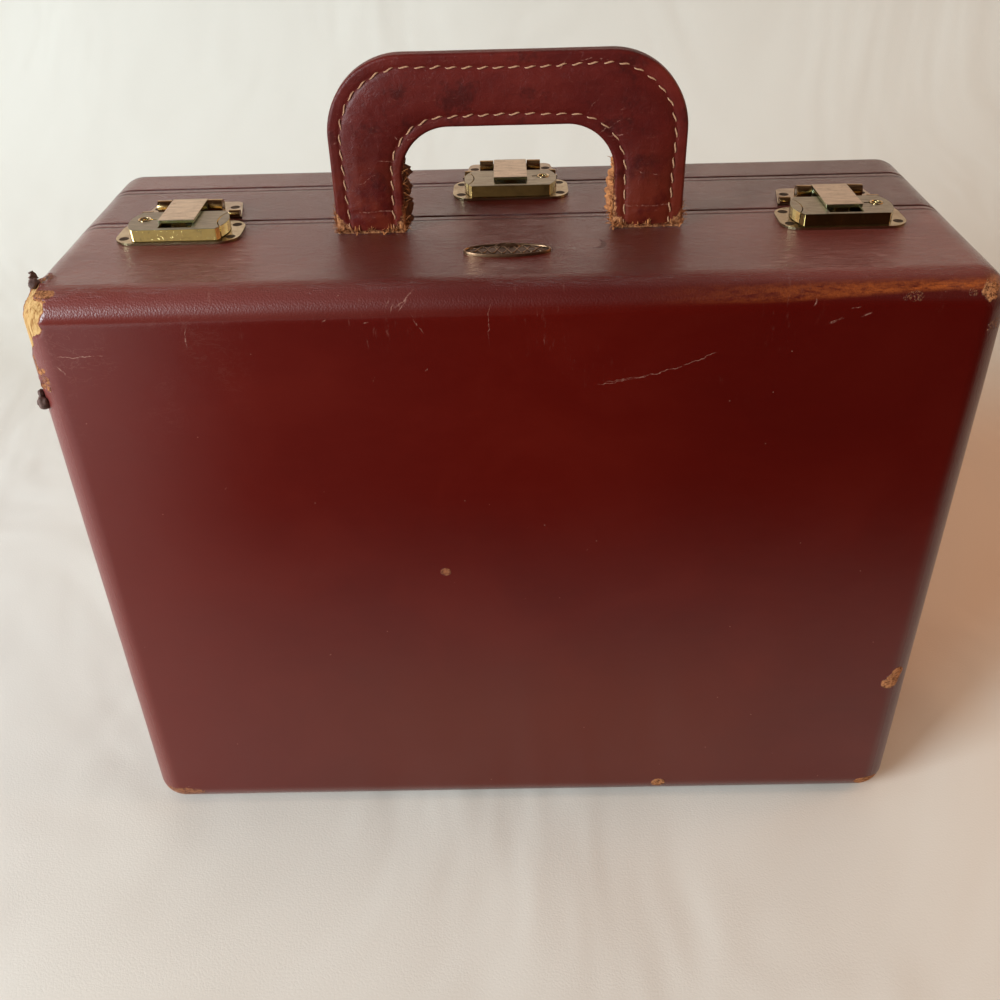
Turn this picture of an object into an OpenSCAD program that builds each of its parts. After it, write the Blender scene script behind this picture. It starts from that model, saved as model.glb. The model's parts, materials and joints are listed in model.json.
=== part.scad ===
// Cosmetic train case in three hinged sections: a front section with the handle,
// a middle section and a back cover, held shut by three hasp locks on top.
// X runs along the case, Y from the front panel to the back panel, Z up.
// The origin is the middle of the bottom face.

/* [Case] */
// Length of the case along X
case_w = 380; // [330:1:460]
// Height of the case without handle
case_h = 288; // [230:1:340]
// Depth from the front face to the front seam
main_d = 78; // [74:0.5:110]
// Depth from the front seam to the back seam
middle_d = 44; // [42:0.5:70]
// Depth from the back seam to the back face
back_d = 31; // [26:0.5:60]
// Gap between two closed sections
seam_gap = 0.6; // [0.4:0.1:1]
// Radius of the four long edges that run from front to back
corner_r = 14; // [11:0.5:18]
// Radius of the edge around the front panel
front_edge_r = 13; // [10:0.5:16]
// Radius of the edge around the back panel
back_edge_r = 12; // [10:0.5:16]

/* [Walls] */
// Thickness of the outer leather
leather_t = 1.6; // [1.2:0.1:2.4]
// Thickness of the wooden walls
wall_t = 6; // [5.5:0.25:9]
// Thickness of the wooden front and back panels
panel_t = 5; // [4:0.25:8]
// Thickness of the lining
lining_t = 1; // [0.6:0.1:1.6]
// Thickness of the divider panel
divider_t = 3; // [2:0.25:5]
// Thickness of the registration lips
lip_t = 2.4; // [2:0.1:3.4]
// How far a lip reaches past its seam
lip_reach = 6; // [3:0.25:6.5]
// How far a lip is nailed back inside its own section
lip_seat = 8; // [7.5:0.25:8.5]
// Play between a lip and the wall it guides
lip_play = 0.6; // [0.4:0.1:1]

/* [Hinges] */
// Height of the hinge axis above the bottom
hinge_z = 2.6; // [2.5:0.05:2.9]
// Radius of the hinge barrel
barrel_r = 2.2; // [1.9:0.05:2.3]
// Radius of the hinge pin
pin_r = 1; // [0.8:0.05:1.2]
// Half width of the rebate that the barrel lies in
rebate_half = 3.4; // [3.1:0.1:3.7]
// Thickness of a hinge leaf
leaf_t = 0.8; // [0.6:0.05:1]
// Width of the leaf that is screwed down inside
leaf_w = 6.8; // [6.4:0.1:7.2]
// Number of barrel knuckles in a hinge
knuckles = 9; // [5:2:13]
// Number of screws in a leaf
leaf_screws = 7; // [4:1:10]
// Distance from the long edge radius to the hinge end
hinge_end = 3; // [2:0.5:12]

/* [Handle] */
// Overall length of the handle
handle_w = 143; // [120:1:170]
// Height of the handle above the case
handle_h = 69.6; // [62:0.2:84]
// Width of a handle leg
leg_w = 28.5; // [25:0.5:32]
// Depth of the grip bar
grip_d = 27.4; // [25:0.2:30]
// Radius of the handle's outer corners
handle_outer_r = 31; // [26:0.5:34]
// Radius of the finger opening's corners
handle_inner_r = 19.5; // [14:0.5:24]
// Middle plane of the handle in front of the front seam
handle_from_seam = 15.5; // [15:0.1:22]
// Thickness of the handle along its stitched edge
flange_t = 7; // [6:0.2:8]
// Thickness of the handle over its padded middle
padded_t = 9.4; // [8.6:0.2:12]
// Width of the padded middle
padded_w = 19; // [16:0.5:21]
// Thickness of the handle leather
handle_leather_t = 1.5; // [1.2:0.1:2]
// Radius of the threaded studs of the handle frame
stud_r = 2; // [1.5:0.1:2.5]
// Thickness of the steel strip inside the handle
strip_t = 2; // [1.5:0.1:3]
// Width of the steel strip inside the handle
strip_w = 8; // [6:0.5:12]
// Length of an anchor plate under the top wall
anchor_w = 24; // [18:1:30]
// Width of an anchor plate
anchor_d = 11; // [9:0.5:12]
// Thickness of an anchor plate
anchor_t = 1.5; // [1:0.1:2.5]
// Width of a stud nut across its flats
nut_w = 7; // [6.5:0.1:8]
// Height of a stud nut
nut_h = 3; // [2:0.1:4]

/* [Badge] */
// Length of the oval badge
badge_w = 35; // [26:0.5:46]
// Depth of the oval badge
badge_d = 12.2; // [9:0.2:16]
// Thickness of the badge
badge_t = 0.9; // [0.6:0.1:1.6]
// Height of the rim over the badge
badge_rim_h = 0.6; // [0.3:0.1:1]
// Distance of the badge's middle behind the front face
badge_back = 35.8; // [26:0.2:42]
// Sideways offset of the badge
badge_x = -1; // [-20:0.5:20]

/* [Locks] */
// Distance of the left and right locks from the ends of the case
side_lock_end = 52; // [45:1:70]
// Sideways offset of the middle lock
middle_lock_x = 1; // [-20:0.5:20]
// How far the middle lock sits behind its seam line
middle_lock_shift = 1.5; // [0:0.1:1.5]
// Length of the lock plate
lock_plate_w = 52; // [48:0.5:58]
// Depth of the lock plate
lock_plate_d = 25; // [23:0.5:27]
// Middle of the lock plate in front of the seam
lock_plate_y = 14.5; // [14:0.1:15.5]
// Corner radius of the lock plate
lock_plate_r = 8; // [6:0.5:9]
// Thickness of the lock and hasp plates
plate_t = 1; // [0.8:0.1:1.4]
// Half length of the lock case along its straight front
case_front_half = 17.4; // [15.5:0.2:18]
// Half length of the lock case at its rounded ends
case_end_half = 20.8; // [20:0.1:21.6]
// Depth of the lock case
lock_case_d = 21.2; // [19:0.2:22.4]
// Height of the lock case above the leather
lock_case_h = 6; // [5.6:0.1:6.6]
// Thickness of the lock case metal
sheet_t = 0.9; // [0.6:0.1:1.2]
// Distance of the keyhole from the lock's middle
keyhole_x = 13.8; // [12:0.2:14.2]
// Radius of the keyhole
keyhole_r = 2.1; // [1.6:0.1:2.4]
// Length of the slit across the keyhole
keyhole_slit = 8; // [5.5:0.5:8.5]
// Radius of the post in the keyhole
key_post_r = 0.9; // [0.6:0.1:1.1]
// Radius of the lock and hasp nails
nail_r = 0.8; // [0.6:0.05:1]
// Radius of the nail heads
nail_head_r = 2; // [1.5:0.1:2.1]
// Distance of the lock nails past the rounded ends of the lock case
lock_nail_gap = 1.4; // [1.1:0.1:1.7]
// Spacing of the two lock nails of one ear
lock_nail_pitch = 14; // [12:0.5:15]

/* [Hasps] */
// Radius of the rolls at the front corners of a hasp plate
roll_r = 1.7; // [1.4:0.1:2]
// Length of a roll
roll_l = 4.6; // [3.5:0.1:5]
// Width of a lever
lever_w = 15; // [13:0.5:16]
// Distance from the lever's front edge to its pin
lever_l = 25; // [22:0.5:26]
// Thickness of a lever
lever_t = 1.5; // [1.2:0.1:1.8]
// Gap between a closed lever and the lock case
lever_gap = 0.2; // [0.15:0.05:0.4]
// Distance of the lever pin behind the seam
hasp_pin_y = 6; // [5.5:0.1:7]
// Radius of the lever pin
hasp_pin_r = 1.2; // [0.9:0.05:1.4]
// Radius of the lever and hasp knuckles
hasp_knuckle_r = 2.8; // [2.4:0.1:3]
// Outer half length of the hasp knuckles
hasp_knuckle_x = 14; // [12:0.2:15]
// Half length of the hasp plate at its front
hasp_front_half = 22; // [20:0.2:24]
// Half length of the hasp plate at its back
hasp_back_half = 19.4; // [17:0.2:21]
// Distance of the hasp plate's back edge behind the seam
hasp_back_y = 22; // [19:0.2:22]
// Distance of the hasp nails from the lock's middle
hasp_nail_x = 16.8; // [16.4:0.1:17]
// Distance of the hasp nails behind the seam
hasp_nail_y = 14.4; // [13:0.1:15]
// Width of the hook under a lever
hook_w = 5.2; // [4:0.2:6]

/* [Hidden] */

$fn = 48;
// Segments of a quarter round in an outline
arc_steps = 8;
// Rings of the rounded edge of an end form
edge_steps = 8;
// Overshoot of cuts
cut = 2;
// Radial running clearance of pins, nails and screws
fit = 0.05;

// Case planes
front_y = -(main_d + middle_d + back_d) / 2;
front_seam = front_y + main_d;
back_seam = front_seam + middle_d;
back_y = back_seam + back_d;
skin_t = leather_t + wall_t;
inner_w = case_w - 2 * skin_t;
inner_h = case_h - 2 * skin_t;
inner_r = max(corner_r - skin_t, 1);
main_floor_y = front_y + leather_t + panel_t;
back_floor_y = back_y - leather_t - panel_t;
lining_gap = 1;
main_lining_end = front_seam - lip_seat - lining_gap;
divider_y = front_seam + max(lip_reach, leaf_w) + 0.7;
middle_lining_end = back_seam - lip_seat - lining_gap;
back_lining_end = back_seam + max(lip_reach, leaf_w) + 0.7;
lip_foot = 12;

// Hinge
hinge_len = case_w - 2 * (corner_r + hinge_end);
knuckle_gap = 0.4;
leaf_gap = 0.2;
barrel_play = 0.3;
leaf_foot_z = hinge_z + barrel_r + barrel_play;
rebate_top = leaf_foot_z + 0.2;
recess_play = 0.1;
screw_r = 0.8;
screw_head_r = 1.5;
screw_head_t = 0.5;
screw_l = 5;
screw_y = rebate_half + screw_r + 0.6;
screw_end = 14;

// Handle
handle_y = front_seam - handle_from_seam;
opening_half = handle_w / 2 - leg_w;
opening_h = handle_h - grip_d;
core_half = flange_t / 2 - handle_leather_t;
leg_x = handle_w / 2 - leg_w / 2;
path_h = handle_h - grip_d / 2;
path_r = (handle_outer_r + handle_inner_r) / 2;
stud_top = 18;
anchor_z = case_h - skin_t - lining_t;
stud_bottom = anchor_z - anchor_t - nut_h - 1;

// Locks and hasps, measured from the seam and from the top of the case
case_mid_y = -lock_plate_y - 0.1;
case_bulge = case_end_half - case_front_half;
case_end_r = (lock_case_d * lock_case_d / 4 + case_bulge * case_bulge) / (2 * case_bulge);
lever_base = lock_case_h + lever_gap;
hasp_pin_z = lever_base + lever_t - hasp_knuckle_r - 0.1;
lever_play = 0.3;
notch_half = lever_w / 2 - 0.6;
notch_front = case_mid_y - lock_case_d / 2 + sheet_t + 1;
hasp_front_y = hasp_pin_y - hasp_knuckle_r - 0.6;
hook_y = -15.2;
hook_t = 2.4;
toe_l = 2;
toe_t = 0.7;
toe_z = plate_t + 0.2;
catch_z = toe_z + toe_t + 0.3;
catch_t = 1.2;
catch_lap = 1;
catch_d = 4;
thumb_r = 15.4;
thumb_x = 16.7;
thumb_gap = 0.45;
lock_nail_x = case_end_half + lock_nail_gap;
nail_head_t = 0.6;
nail_l = plate_t + leather_t + wall_t - 1;
side_lock_x = case_w / 2 - side_lock_end;
left_lock = [-side_lock_x, front_seam, case_h];
right_lock = [side_lock_x, front_seam, case_h];
middle_lock = [middle_lock_x, back_seam + middle_lock_shift, case_h];

function arc(cx, cy, r, a0, a1) =
    [for (i = [0:arc_steps]) let (a = a0 + (a1 - a0) * i / arc_steps) [cx + r * cos(a), cy + r * sin(a)]];

function rounded_outline(w, h, r) = concat(
    arc(w / 2 - r, h / 2 - r, r, 0, 90),
    arc(-w / 2 + r, h / 2 - r, r, 90, 180),
    arc(-w / 2 + r, -h / 2 + r, r, 180, 270),
    arc(w / 2 - r, -h / 2 + r, r, 270, 360)
);

function oval_outline(w, d) =
    [for (i = [0:47]) [w / 2 * cos(i * 7.5), d / 2 * sin(i * 7.5)]];

// Shapes shared by several pieces

// Points of one ring of an end form: the case's outline drawn in by d, at depth y
function form_ring(d, y) =
    [for (p = rounded_outline(case_w - 2 * d, case_h - 2 * d, max(corner_r - d, 0.2)))
        [p[0], y, case_h / 2 + p[1]]];

// Solid form of an end section from its face at y = 0 inwards, with the edge around the
// face rounded, and drawn in by inset on every side but the inner end
module end_form(depth, edge_r, inset) {
    bend_r = edge_r - inset;
    rings = concat(
        [for (i = [0:edge_steps]) let (a = 90 * i / edge_steps)
            form_ring(inset + bend_r * (1 - sin(a)), inset + bend_r * (1 - cos(a)))],
        [form_ring(inset, depth)]
    );
    n = len(rings[0]);
    last = len(rings) - 1;
    polyhedron(
        points = [for (ring = rings) for (p = ring) p],
        faces = concat(
            [[for (i = [0:n - 1]) n - 1 - i]],
            [[for (i = [0:n - 1]) last * n + i]],
            [for (k = [0:last - 1]) for (i = [0:n - 1]) let (j = (i + 1) % n)
                [k * n + i, k * n + j, (k + 1) * n + j, (k + 1) * n + i]]
        )
    );
}

module front_form(end_y, inset) {
    translate([0, front_y, 0]) end_form(end_y - front_y, front_edge_r, inset);
}

module back_form(end_y, inset) {
    translate([0, back_y, 0]) mirror([0, 1, 0]) end_form(back_y - end_y, back_edge_r, inset);
}

// Bar with a rounded rectangular section, between two planes of Y
module rounded_bar(y0, y1, w, h, r) {
    translate([0, y1, case_h / 2])
        rotate([90, 0, 0])
        linear_extrude(y1 - y0)
        polygon(rounded_outline(w, h, r));
}

module cavity(y0, y1) {
    rounded_bar(y0, y1, inner_w, inner_h, inner_r);
}

// Slab across the whole case between two planes of Y
module slab(y0, y1) {
    translate([-case_w, y0, -case_h]) cube([2 * case_w, y1 - y0, 3 * case_h]);
}

// Rebate along the bottom of a seam, with the recess for the hinge leaves
module hinge_cut(seam_y) {
    translate([-case_w / 2 - cut, seam_y - rebate_half, -cut])
        cube([case_w + 2 * cut, 2 * rebate_half, rebate_top + cut]);
    translate([-hinge_len / 2 - recess_play, seam_y - leaf_gap / 2 - leaf_t - recess_play, 0])
        cube([hinge_len + 2 * recess_play, leaf_gap + 2 * leaf_t + 2 * recess_play, skin_t + cut]);
}

module screw_places(seam_y, side) {
    step = (hinge_len - 2 * screw_end) / (leaf_screws - 1);
    for (i = [0:leaf_screws - 1])
        translate([-hinge_len / 2 + screw_end + i * step, seam_y + side * screw_y, skin_t + leaf_t])
            children();
}

module screw_shank(extra) {
    translate([0, 0, -screw_l]) cylinder(r = screw_r + extra, h = screw_l);
}

module hinge_screws(seam_y, side) {
    screw_places(seam_y, side) {
        screw_shank(0);
        cylinder(r = screw_head_r, h = screw_head_t);
    }
}

module screw_holes(seam_y, side) {
    screw_places(seam_y, side) translate([0, 0, cut]) cylinder(r = screw_r + fit, h = 2 * cut);
    screw_places(seam_y, side) screw_shank(fit);
    screw_places(seam_y, side) cylinder(r = screw_r + fit, h = cut);
}

module nail_places(x_half, y_mid, pitch) {
    for (x = [-1, 1])
        for (y = pitch > 0 ? [-1, 1] : [0])
            translate([x * x_half, y_mid + y * pitch / 2, 0]) children();
}

module lock_nail_places() {
    nail_places(lock_nail_x, -lock_plate_y, lock_nail_pitch) children();
}

module hasp_nail_places() {
    nail_places(hasp_nail_x, hasp_nail_y, 0) children();
}

module nail() {
    translate([0, 0, plate_t - nail_head_t]) cylinder(r = nail_head_r, h = nail_head_t);
    translate([0, 0, plate_t - nail_l]) cylinder(r = nail_r, h = nail_l);
}

// Hole of one nail, wide in the plate and narrow below it
module nail_hole() {
    translate([0, 0, plate_t - nail_head_t]) cylinder(r = nail_head_r + fit, h = cut);
    translate([0, 0, plate_t - nail_l]) cylinder(r = nail_r + fit, h = nail_l);
}

module lock_holes(place) {
    translate(place) lock_nail_places() nail_hole();
}

module hasp_holes(place) {
    translate(place) hasp_nail_places() nail_hole();
}

module stud_places() {
    for (x = [-1, 1]) translate([x * leg_x, handle_y, 0]) children();
}

module stud_holes() {
    stud_places()
        translate([0, 0, stud_bottom - cut])
        cylinder(r = stud_r + fit, h = case_h + cut - stud_bottom);
}

module badge_pins(extra) {
    translate([badge_x, front_y + badge_back, case_h])
        for (x = [-1, 1])
            translate([x * badge_w / 4, 0, -skin_t / 2])
                cylinder(r = nail_r + extra, h = skin_t / 2 + badge_t / 2);
}

// Three sided lip inside one seam, open along the hinge
module lip(seam_y) {
    difference() {
        union() {
            rounded_bar(seam_y - lip_seat, seam_y - seam_gap, inner_w, inner_h, inner_r);
            rounded_bar(seam_y - seam_gap - 0.1, seam_y + lip_reach,
                inner_w - 2 * lip_play, inner_h - 2 * lip_play, max(inner_r - lip_play, 0.5));
        }
        rounded_bar(seam_y - lip_seat - cut, seam_y + lip_reach + cut,
            inner_w - 2 * lip_t, inner_h - 2 * lip_t, max(inner_r - lip_t, 0.5));
        translate([-case_w, seam_y - lip_seat - cut, -cut])
            cube([2 * case_w, lip_seat + lip_reach + 2 * cut, skin_t + lip_foot + cut]);
    }
}

module ring(y0, y1, inset) {
    rounded_bar(y0, y1, case_w - 2 * inset, case_h - 2 * inset, corner_r - inset);
}

module lining_bar(y0, y1) {
    rounded_bar(y0, y1, inner_w - 2 * lining_t, inner_h - 2 * lining_t, max(inner_r - lining_t, 0.5));
}

// Leaf of a hinge: side is -1 for the front leaf and 1 for the back leaf
module hinge_leaf(seam_y, side) {
    pitch = hinge_len / knuckles;
    first = side < 0 ? 0 : 1;
    sheet_y = side < 0 ? -leaf_gap / 2 - leaf_t : leaf_gap / 2;
    flat_y = side < 0 ? -leaf_gap / 2 - leaf_w : leaf_gap / 2;
    difference() {
        union() {
            translate([-hinge_len / 2, seam_y + sheet_y, leaf_foot_z])
                cube([hinge_len, leaf_t, skin_t + leaf_t - leaf_foot_z]);
            translate([-hinge_len / 2, seam_y + flat_y, skin_t])
                cube([hinge_len, leaf_w, leaf_t]);
            for (i = [first:2:knuckles - 1])
                translate([-hinge_len / 2 + i * pitch + knuckle_gap / 2, seam_y, hinge_z]) {
                    rotate([0, 90, 0]) cylinder(r = barrel_r, h = pitch - knuckle_gap);
                    translate([0, sheet_y, pin_r + fit])
                        cube([pitch - knuckle_gap, leaf_t, leaf_foot_z - hinge_z - pin_r - fit + 0.1]);
                }
        }
        translate([-hinge_len / 2 - cut, seam_y, hinge_z])
            rotate([0, 90, 0])
            cylinder(r = pin_r + fit, h = hinge_len + 2 * cut);
        screw_holes(seam_y, side);
    }
}

module hinge_pin(seam_y) {
    translate([-hinge_len / 2, seam_y, hinge_z]) rotate([0, 90, 0]) cylinder(r = pin_r, h = hinge_len);
}

// Front section

module main_leather() {
    color([0.36, 0.11, 0.09])
    difference() {
        front_form(front_seam - seam_gap / 2, 0);
        front_form(front_seam + cut, leather_t);
        hinge_cut(front_seam);
        lock_holes(left_lock);
        lock_holes(right_lock);
        stud_holes();
        badge_pins(fit);
    }
}

module main_frame() {
    color([0.85, 0.68, 0.44])
    difference() {
        front_form(front_seam - seam_gap / 2, leather_t);
        slab(front_y - cut, main_floor_y);
        cavity(main_floor_y - cut, front_seam + cut);
        hinge_cut(front_seam);
        screw_holes(front_seam, -1);
        lock_holes(left_lock);
        lock_holes(right_lock);
        stud_holes();
        badge_pins(fit);
    }
}

module front_panel() {
    color([0.82, 0.65, 0.42])
    intersection() {
        front_form(front_seam - seam_gap / 2, leather_t);
        slab(front_y - cut, main_floor_y);
    }
}

module main_lining() {
    color([0.75, 0.66, 0.55])
    difference() {
        cavity(main_floor_y, main_lining_end);
        lining_bar(main_floor_y + lining_t, main_lining_end + cut);
        stud_holes();
    }
}

module main_lip() {
    color([0.3, 0.1, 0.08]) lip(front_seam);
}

module badge() {
    color([0.5, 0.38, 0.24]) {
        translate([badge_x, front_y + badge_back, case_h]) {
            linear_extrude(badge_t) polygon(oval_outline(badge_w - 1.6, badge_d - 1.6));
            linear_extrude(badge_t + badge_rim_h)
                difference() {
                    polygon(oval_outline(badge_w, badge_d));
                    polygon(oval_outline(badge_w - 2, badge_d - 2));
                }
        }
        badge_pins(0);
    }
}

// Handle

module handle_outline() {
    half = handle_w / 2;
    polygon(concat(
        [[half, 0]],
        arc(half - handle_outer_r, handle_h - handle_outer_r, handle_outer_r, 0, 90),
        arc(-half + handle_outer_r, handle_h - handle_outer_r, handle_outer_r, 90, 180),
        [[-half, 0], [-opening_half, 0]],
        arc(-opening_half + handle_inner_r, opening_h - handle_inner_r, handle_inner_r, 180, 90),
        arc(opening_half - handle_inner_r, opening_h - handle_inner_r, handle_inner_r, 90, 0),
        [[opening_half, 0]]
    ));
}

// Plate of the handle's outline between two distances from its middle plane
module handle_plate(y0, y1) {
    translate([0, handle_y + y1, case_h]) rotate([90, 0, 0]) linear_extrude(y1 - y0) handle_outline();
}

// Half of a lens shaped section, as wide as w and half as thick as t
module lens_section(w, t) {
    r = (w * w / 4 + t * t / 4) / t;
    a = asin(w / 2 / r);
    polygon([for (i = [0:12]) let (b = -a + 2 * a * i / 12) [r * sin(b), r * cos(b) - r + t / 2]]);
}

// Padding that runs up one leg, over the grip and down the other leg
module padding(w, t) {
    translate([0, handle_y, case_h])
        for (x = [-1, 1]) {
            translate([x * leg_x, 0, 0]) linear_extrude(path_h - path_r) mirror([0, 1]) lens_section(w, t);
            translate([x * (leg_x - path_r), 0, path_h - path_r])
                rotate([90, 0, 0])
                rotate([0, 0, x > 0 ? 0 : 90])
                rotate_extrude(angle = 90)
                translate([path_r, 0])
                lens_section(w, t);
        }
    translate([-leg_x + path_r, handle_y, case_h + path_h])
        rotate([0, 90, 0])
        linear_extrude(2 * (leg_x - path_r))
        mirror([0, 1])
        lens_section(w, t);
}

// The front half of the handle leather; the back half is its mirror
module handle_leather_half() {
    difference() {
        union() {
            handle_plate(-flange_t / 2, -core_half);
            padding(padded_w, padded_t);
        }
        padding(padded_w - 2 * handle_leather_t, padded_t - 2 * handle_leather_t);
        handle_plate(-core_half, core_half);
        translate([-handle_w, handle_y - core_half, case_h - cut])
            cube([2 * handle_w, flange_t, handle_h + 2 * cut]);
    }
}

module handle_mirror() {
    translate([0, 2 * handle_y, 0]) mirror([0, 1, 0]) children();
}

module handle_front_leather() {
    color([0.34, 0.12, 0.1]) handle_leather_half();
}

module handle_back_leather() {
    color([0.34, 0.12, 0.1]) handle_mirror() handle_leather_half();
}

// Steel strip along the middle of the handle, grown by extra
module strip(extra) {
    half = strip_w / 2 + extra;
    translate([0, handle_y + strip_t / 2 + extra, case_h])
        rotate([90, 0, 0])
        linear_extrude(strip_t + 2 * extra)
        polygon(concat(
            [[leg_x + half, stud_top - 6 - extra]],
            arc(leg_x - path_r, path_h - path_r, path_r + half, 0, 90),
            arc(-leg_x + path_r, path_h - path_r, path_r + half, 90, 180),
            [[-leg_x - half, stud_top - 6 - extra], [-leg_x + half, stud_top - 6 - extra]],
            arc(-leg_x + path_r, path_h - path_r, path_r - half, 180, 90),
            arc(leg_x - path_r, path_h - path_r, path_r - half, 90, 0),
            [[leg_x - half, stud_top - 6 - extra]]
        ));
}

module handle_pad() {
    color([0.55, 0.45, 0.36])
    difference() {
        union() {
            handle_plate(-core_half, core_half);
            padding(padded_w - 2 * handle_leather_t, padded_t - 2 * handle_leather_t);
            handle_mirror() padding(padded_w - 2 * handle_leather_t, padded_t - 2 * handle_leather_t);
        }
        strip(fit);
        stud_places() translate([0, 0, case_h - cut]) cylinder(r = stud_r + fit, h = stud_top + cut + fit);
    }
}

module handle_frame() {
    color("silver") {
        strip(0);
        stud_places()
            translate([0, 0, stud_bottom])
            cylinder(r = stud_r, h = case_h + stud_top - stud_bottom);
    }
}

module handle_anchor_plates() {
    color("gray")
    stud_places()
        difference() {
            translate([-anchor_w / 2, -anchor_d / 2, anchor_z - anchor_t])
                cube([anchor_w, anchor_d, anchor_t]);
            translate([0, 0, anchor_z - anchor_t - cut]) cylinder(r = stud_r + fit, h = anchor_t + 2 * cut);
        }
}

module handle_nuts() {
    color("gainsboro")
    stud_places()
        translate([0, 0, anchor_z - anchor_t - nut_h])
        difference() {
            cylinder(r = nut_w / 2 / cos(30), h = nut_h, $fn = 6);
            translate([0, 0, -cut]) cylinder(r = stud_r + fit, h = nut_h + 2 * cut);
        }
}

// Middle section

module middle_leather() {
    color([0.38, 0.12, 0.1])
    difference() {
        ring(front_seam + seam_gap / 2, back_seam - seam_gap / 2, 0);
        ring(front_seam - cut, back_seam + cut, leather_t);
        hinge_cut(front_seam);
        hinge_cut(back_seam);
        hasp_holes(left_lock);
        hasp_holes(right_lock);
        lock_holes(middle_lock);
    }
}

module middle_frame() {
    color([0.84, 0.67, 0.43])
    difference() {
        ring(front_seam + seam_gap / 2, back_seam - seam_gap / 2, leather_t);
        cavity(front_seam - cut, back_seam + cut);
        hinge_cut(front_seam);
        hinge_cut(back_seam);
        screw_holes(front_seam, 1);
        screw_holes(back_seam, -1);
        hasp_holes(left_lock);
        hasp_holes(right_lock);
        lock_holes(middle_lock);
    }
}

module divider_panel() {
    color([0.7, 0.55, 0.4]) cavity(divider_y, divider_y + divider_t);
}

module middle_lining() {
    color([0.76, 0.67, 0.56])
    difference() {
        cavity(divider_y + divider_t, middle_lining_end);
        lining_bar(divider_y + divider_t + lining_t, middle_lining_end + cut);
    }
}

module middle_lip() {
    color([0.3, 0.1, 0.08]) lip(back_seam);
}

// Back cover

module back_leather() {
    color([0.36, 0.11, 0.09])
    difference() {
        back_form(back_seam + seam_gap / 2, 0);
        back_form(back_seam - cut, leather_t);
        hinge_cut(back_seam);
        hasp_holes(middle_lock);
    }
}

module back_frame() {
    color([0.85, 0.68, 0.44])
    difference() {
        back_form(back_seam + seam_gap / 2, leather_t);
        slab(back_floor_y, back_y + cut);
        cavity(back_seam - cut, back_floor_y + cut);
        hinge_cut(back_seam);
        screw_holes(back_seam, 1);
        hasp_holes(middle_lock);
    }
}

module back_panel() {
    color([0.82, 0.65, 0.42])
    intersection() {
        back_form(back_seam + seam_gap / 2, leather_t);
        slab(back_floor_y, back_y + cut);
    }
}

module back_lining() {
    color([0.75, 0.66, 0.55])
    difference() {
        cavity(back_lining_end, back_floor_y);
        lining_bar(back_lining_end - cut, back_floor_y - lining_t);
    }
}

// Hinges

module front_hinge_fixed_leaf() {
    color("goldenrod") hinge_leaf(front_seam, -1);
}

module front_hinge_swing_leaf() {
    color("darkgoldenrod") hinge_leaf(front_seam, 1);
}

module front_hinge_pin() {
    color("silver") hinge_pin(front_seam);
}

module back_hinge_fixed_leaf() {
    color("goldenrod") hinge_leaf(back_seam, -1);
}

module back_hinge_swing_leaf() {
    color("darkgoldenrod") hinge_leaf(back_seam, 1);
}

module back_hinge_pin() {
    color("silver") hinge_pin(back_seam);
}

module main_hinge_screws() {
    color("khaki") hinge_screws(front_seam, -1);
}

module middle_hinge_screws() {
    color("khaki") {
        hinge_screws(front_seam, 1);
        hinge_screws(back_seam, -1);
    }
}

module back_hinge_screws() {
    color("khaki") hinge_screws(back_seam, 1);
}

// Lock pieces, drawn round the point where the lock's middle meets the seam on top.
// key_side is the side of the keyhole, -1 or 1; the release is at the other end.

module lock_plate(key_side) {
    color([0.8, 0.66, 0.36]) {
        difference() {
            translate([0, -lock_plate_y, 0])
                linear_extrude(plate_t)
                polygon(rounded_outline(lock_plate_w, lock_plate_d, lock_plate_r));
            lock_nail_places() nail_hole();
        }
        translate([key_side * keyhole_x, case_mid_y + 1.6, plate_t / 2])
            cylinder(r = key_post_r, h = lock_case_h - plate_t / 2 - 0.5);
    }
}

// Outline of the lock case, drawn in by inset
function lock_outline(inset) = concat(
    arc(case_end_half - case_end_r, case_mid_y, case_end_r - inset,
        -asin((lock_case_d / 2 - inset) / (case_end_r - inset)),
        asin((lock_case_d / 2 - inset) / (case_end_r - inset))),
    arc(-case_end_half + case_end_r, case_mid_y, case_end_r - inset,
        180 - asin((lock_case_d / 2 - inset) / (case_end_r - inset)),
        180 + asin((lock_case_d / 2 - inset) / (case_end_r - inset)))
);

// Region of the sliding thumb piece, grown by extra
module thumb_region(key_side, extra) {
    translate([-key_side * (thumb_x + thumb_r), case_mid_y, 0])
        cylinder(r = thumb_r + extra, h = lock_case_h + cut);
}

module lock_case(key_side) {
    color([0.72, 0.66, 0.5])
    difference() {
        translate([0, 0, plate_t]) linear_extrude(lock_case_h - plate_t) polygon(lock_outline(0));
        translate([0, 0, plate_t - cut])
            linear_extrude(lock_case_h - plate_t + cut - sheet_t)
            polygon(lock_outline(sheet_t));
        translate([-notch_half, notch_front, plate_t]) cube([2 * notch_half, lock_case_d, lock_case_h]);
        thumb_region(key_side, thumb_gap);
        translate([key_side * keyhole_x, case_mid_y + 1.6, plate_t])
            cylinder(r = keyhole_r, h = lock_case_h);
        translate([key_side * keyhole_x - keyhole_slit / 2, case_mid_y + 1.1, lock_case_h - sheet_t - 0.5])
            cube([keyhole_slit, 1, cut + sheet_t]);
    }
}

module release(key_side) {
    catch_x = hook_w / 2 + toe_l - catch_lap;
    color([0.7, 0.63, 0.46]) {
        intersection() {
            translate([0, 0, plate_t + 0.3])
                linear_extrude(lock_case_h - plate_t - 0.3)
                polygon(lock_outline(0));
            thumb_region(key_side, 0);
        }
        translate([key_side > 0 ? -thumb_x - 1 : catch_x, hook_y - catch_d / 2, catch_z])
            cube([thumb_x + 1 - catch_x, catch_d, catch_t]);
    }
}

module lock_nails() {
    color([0.45, 0.36, 0.2]) lock_nail_places() nail();
}

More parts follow.
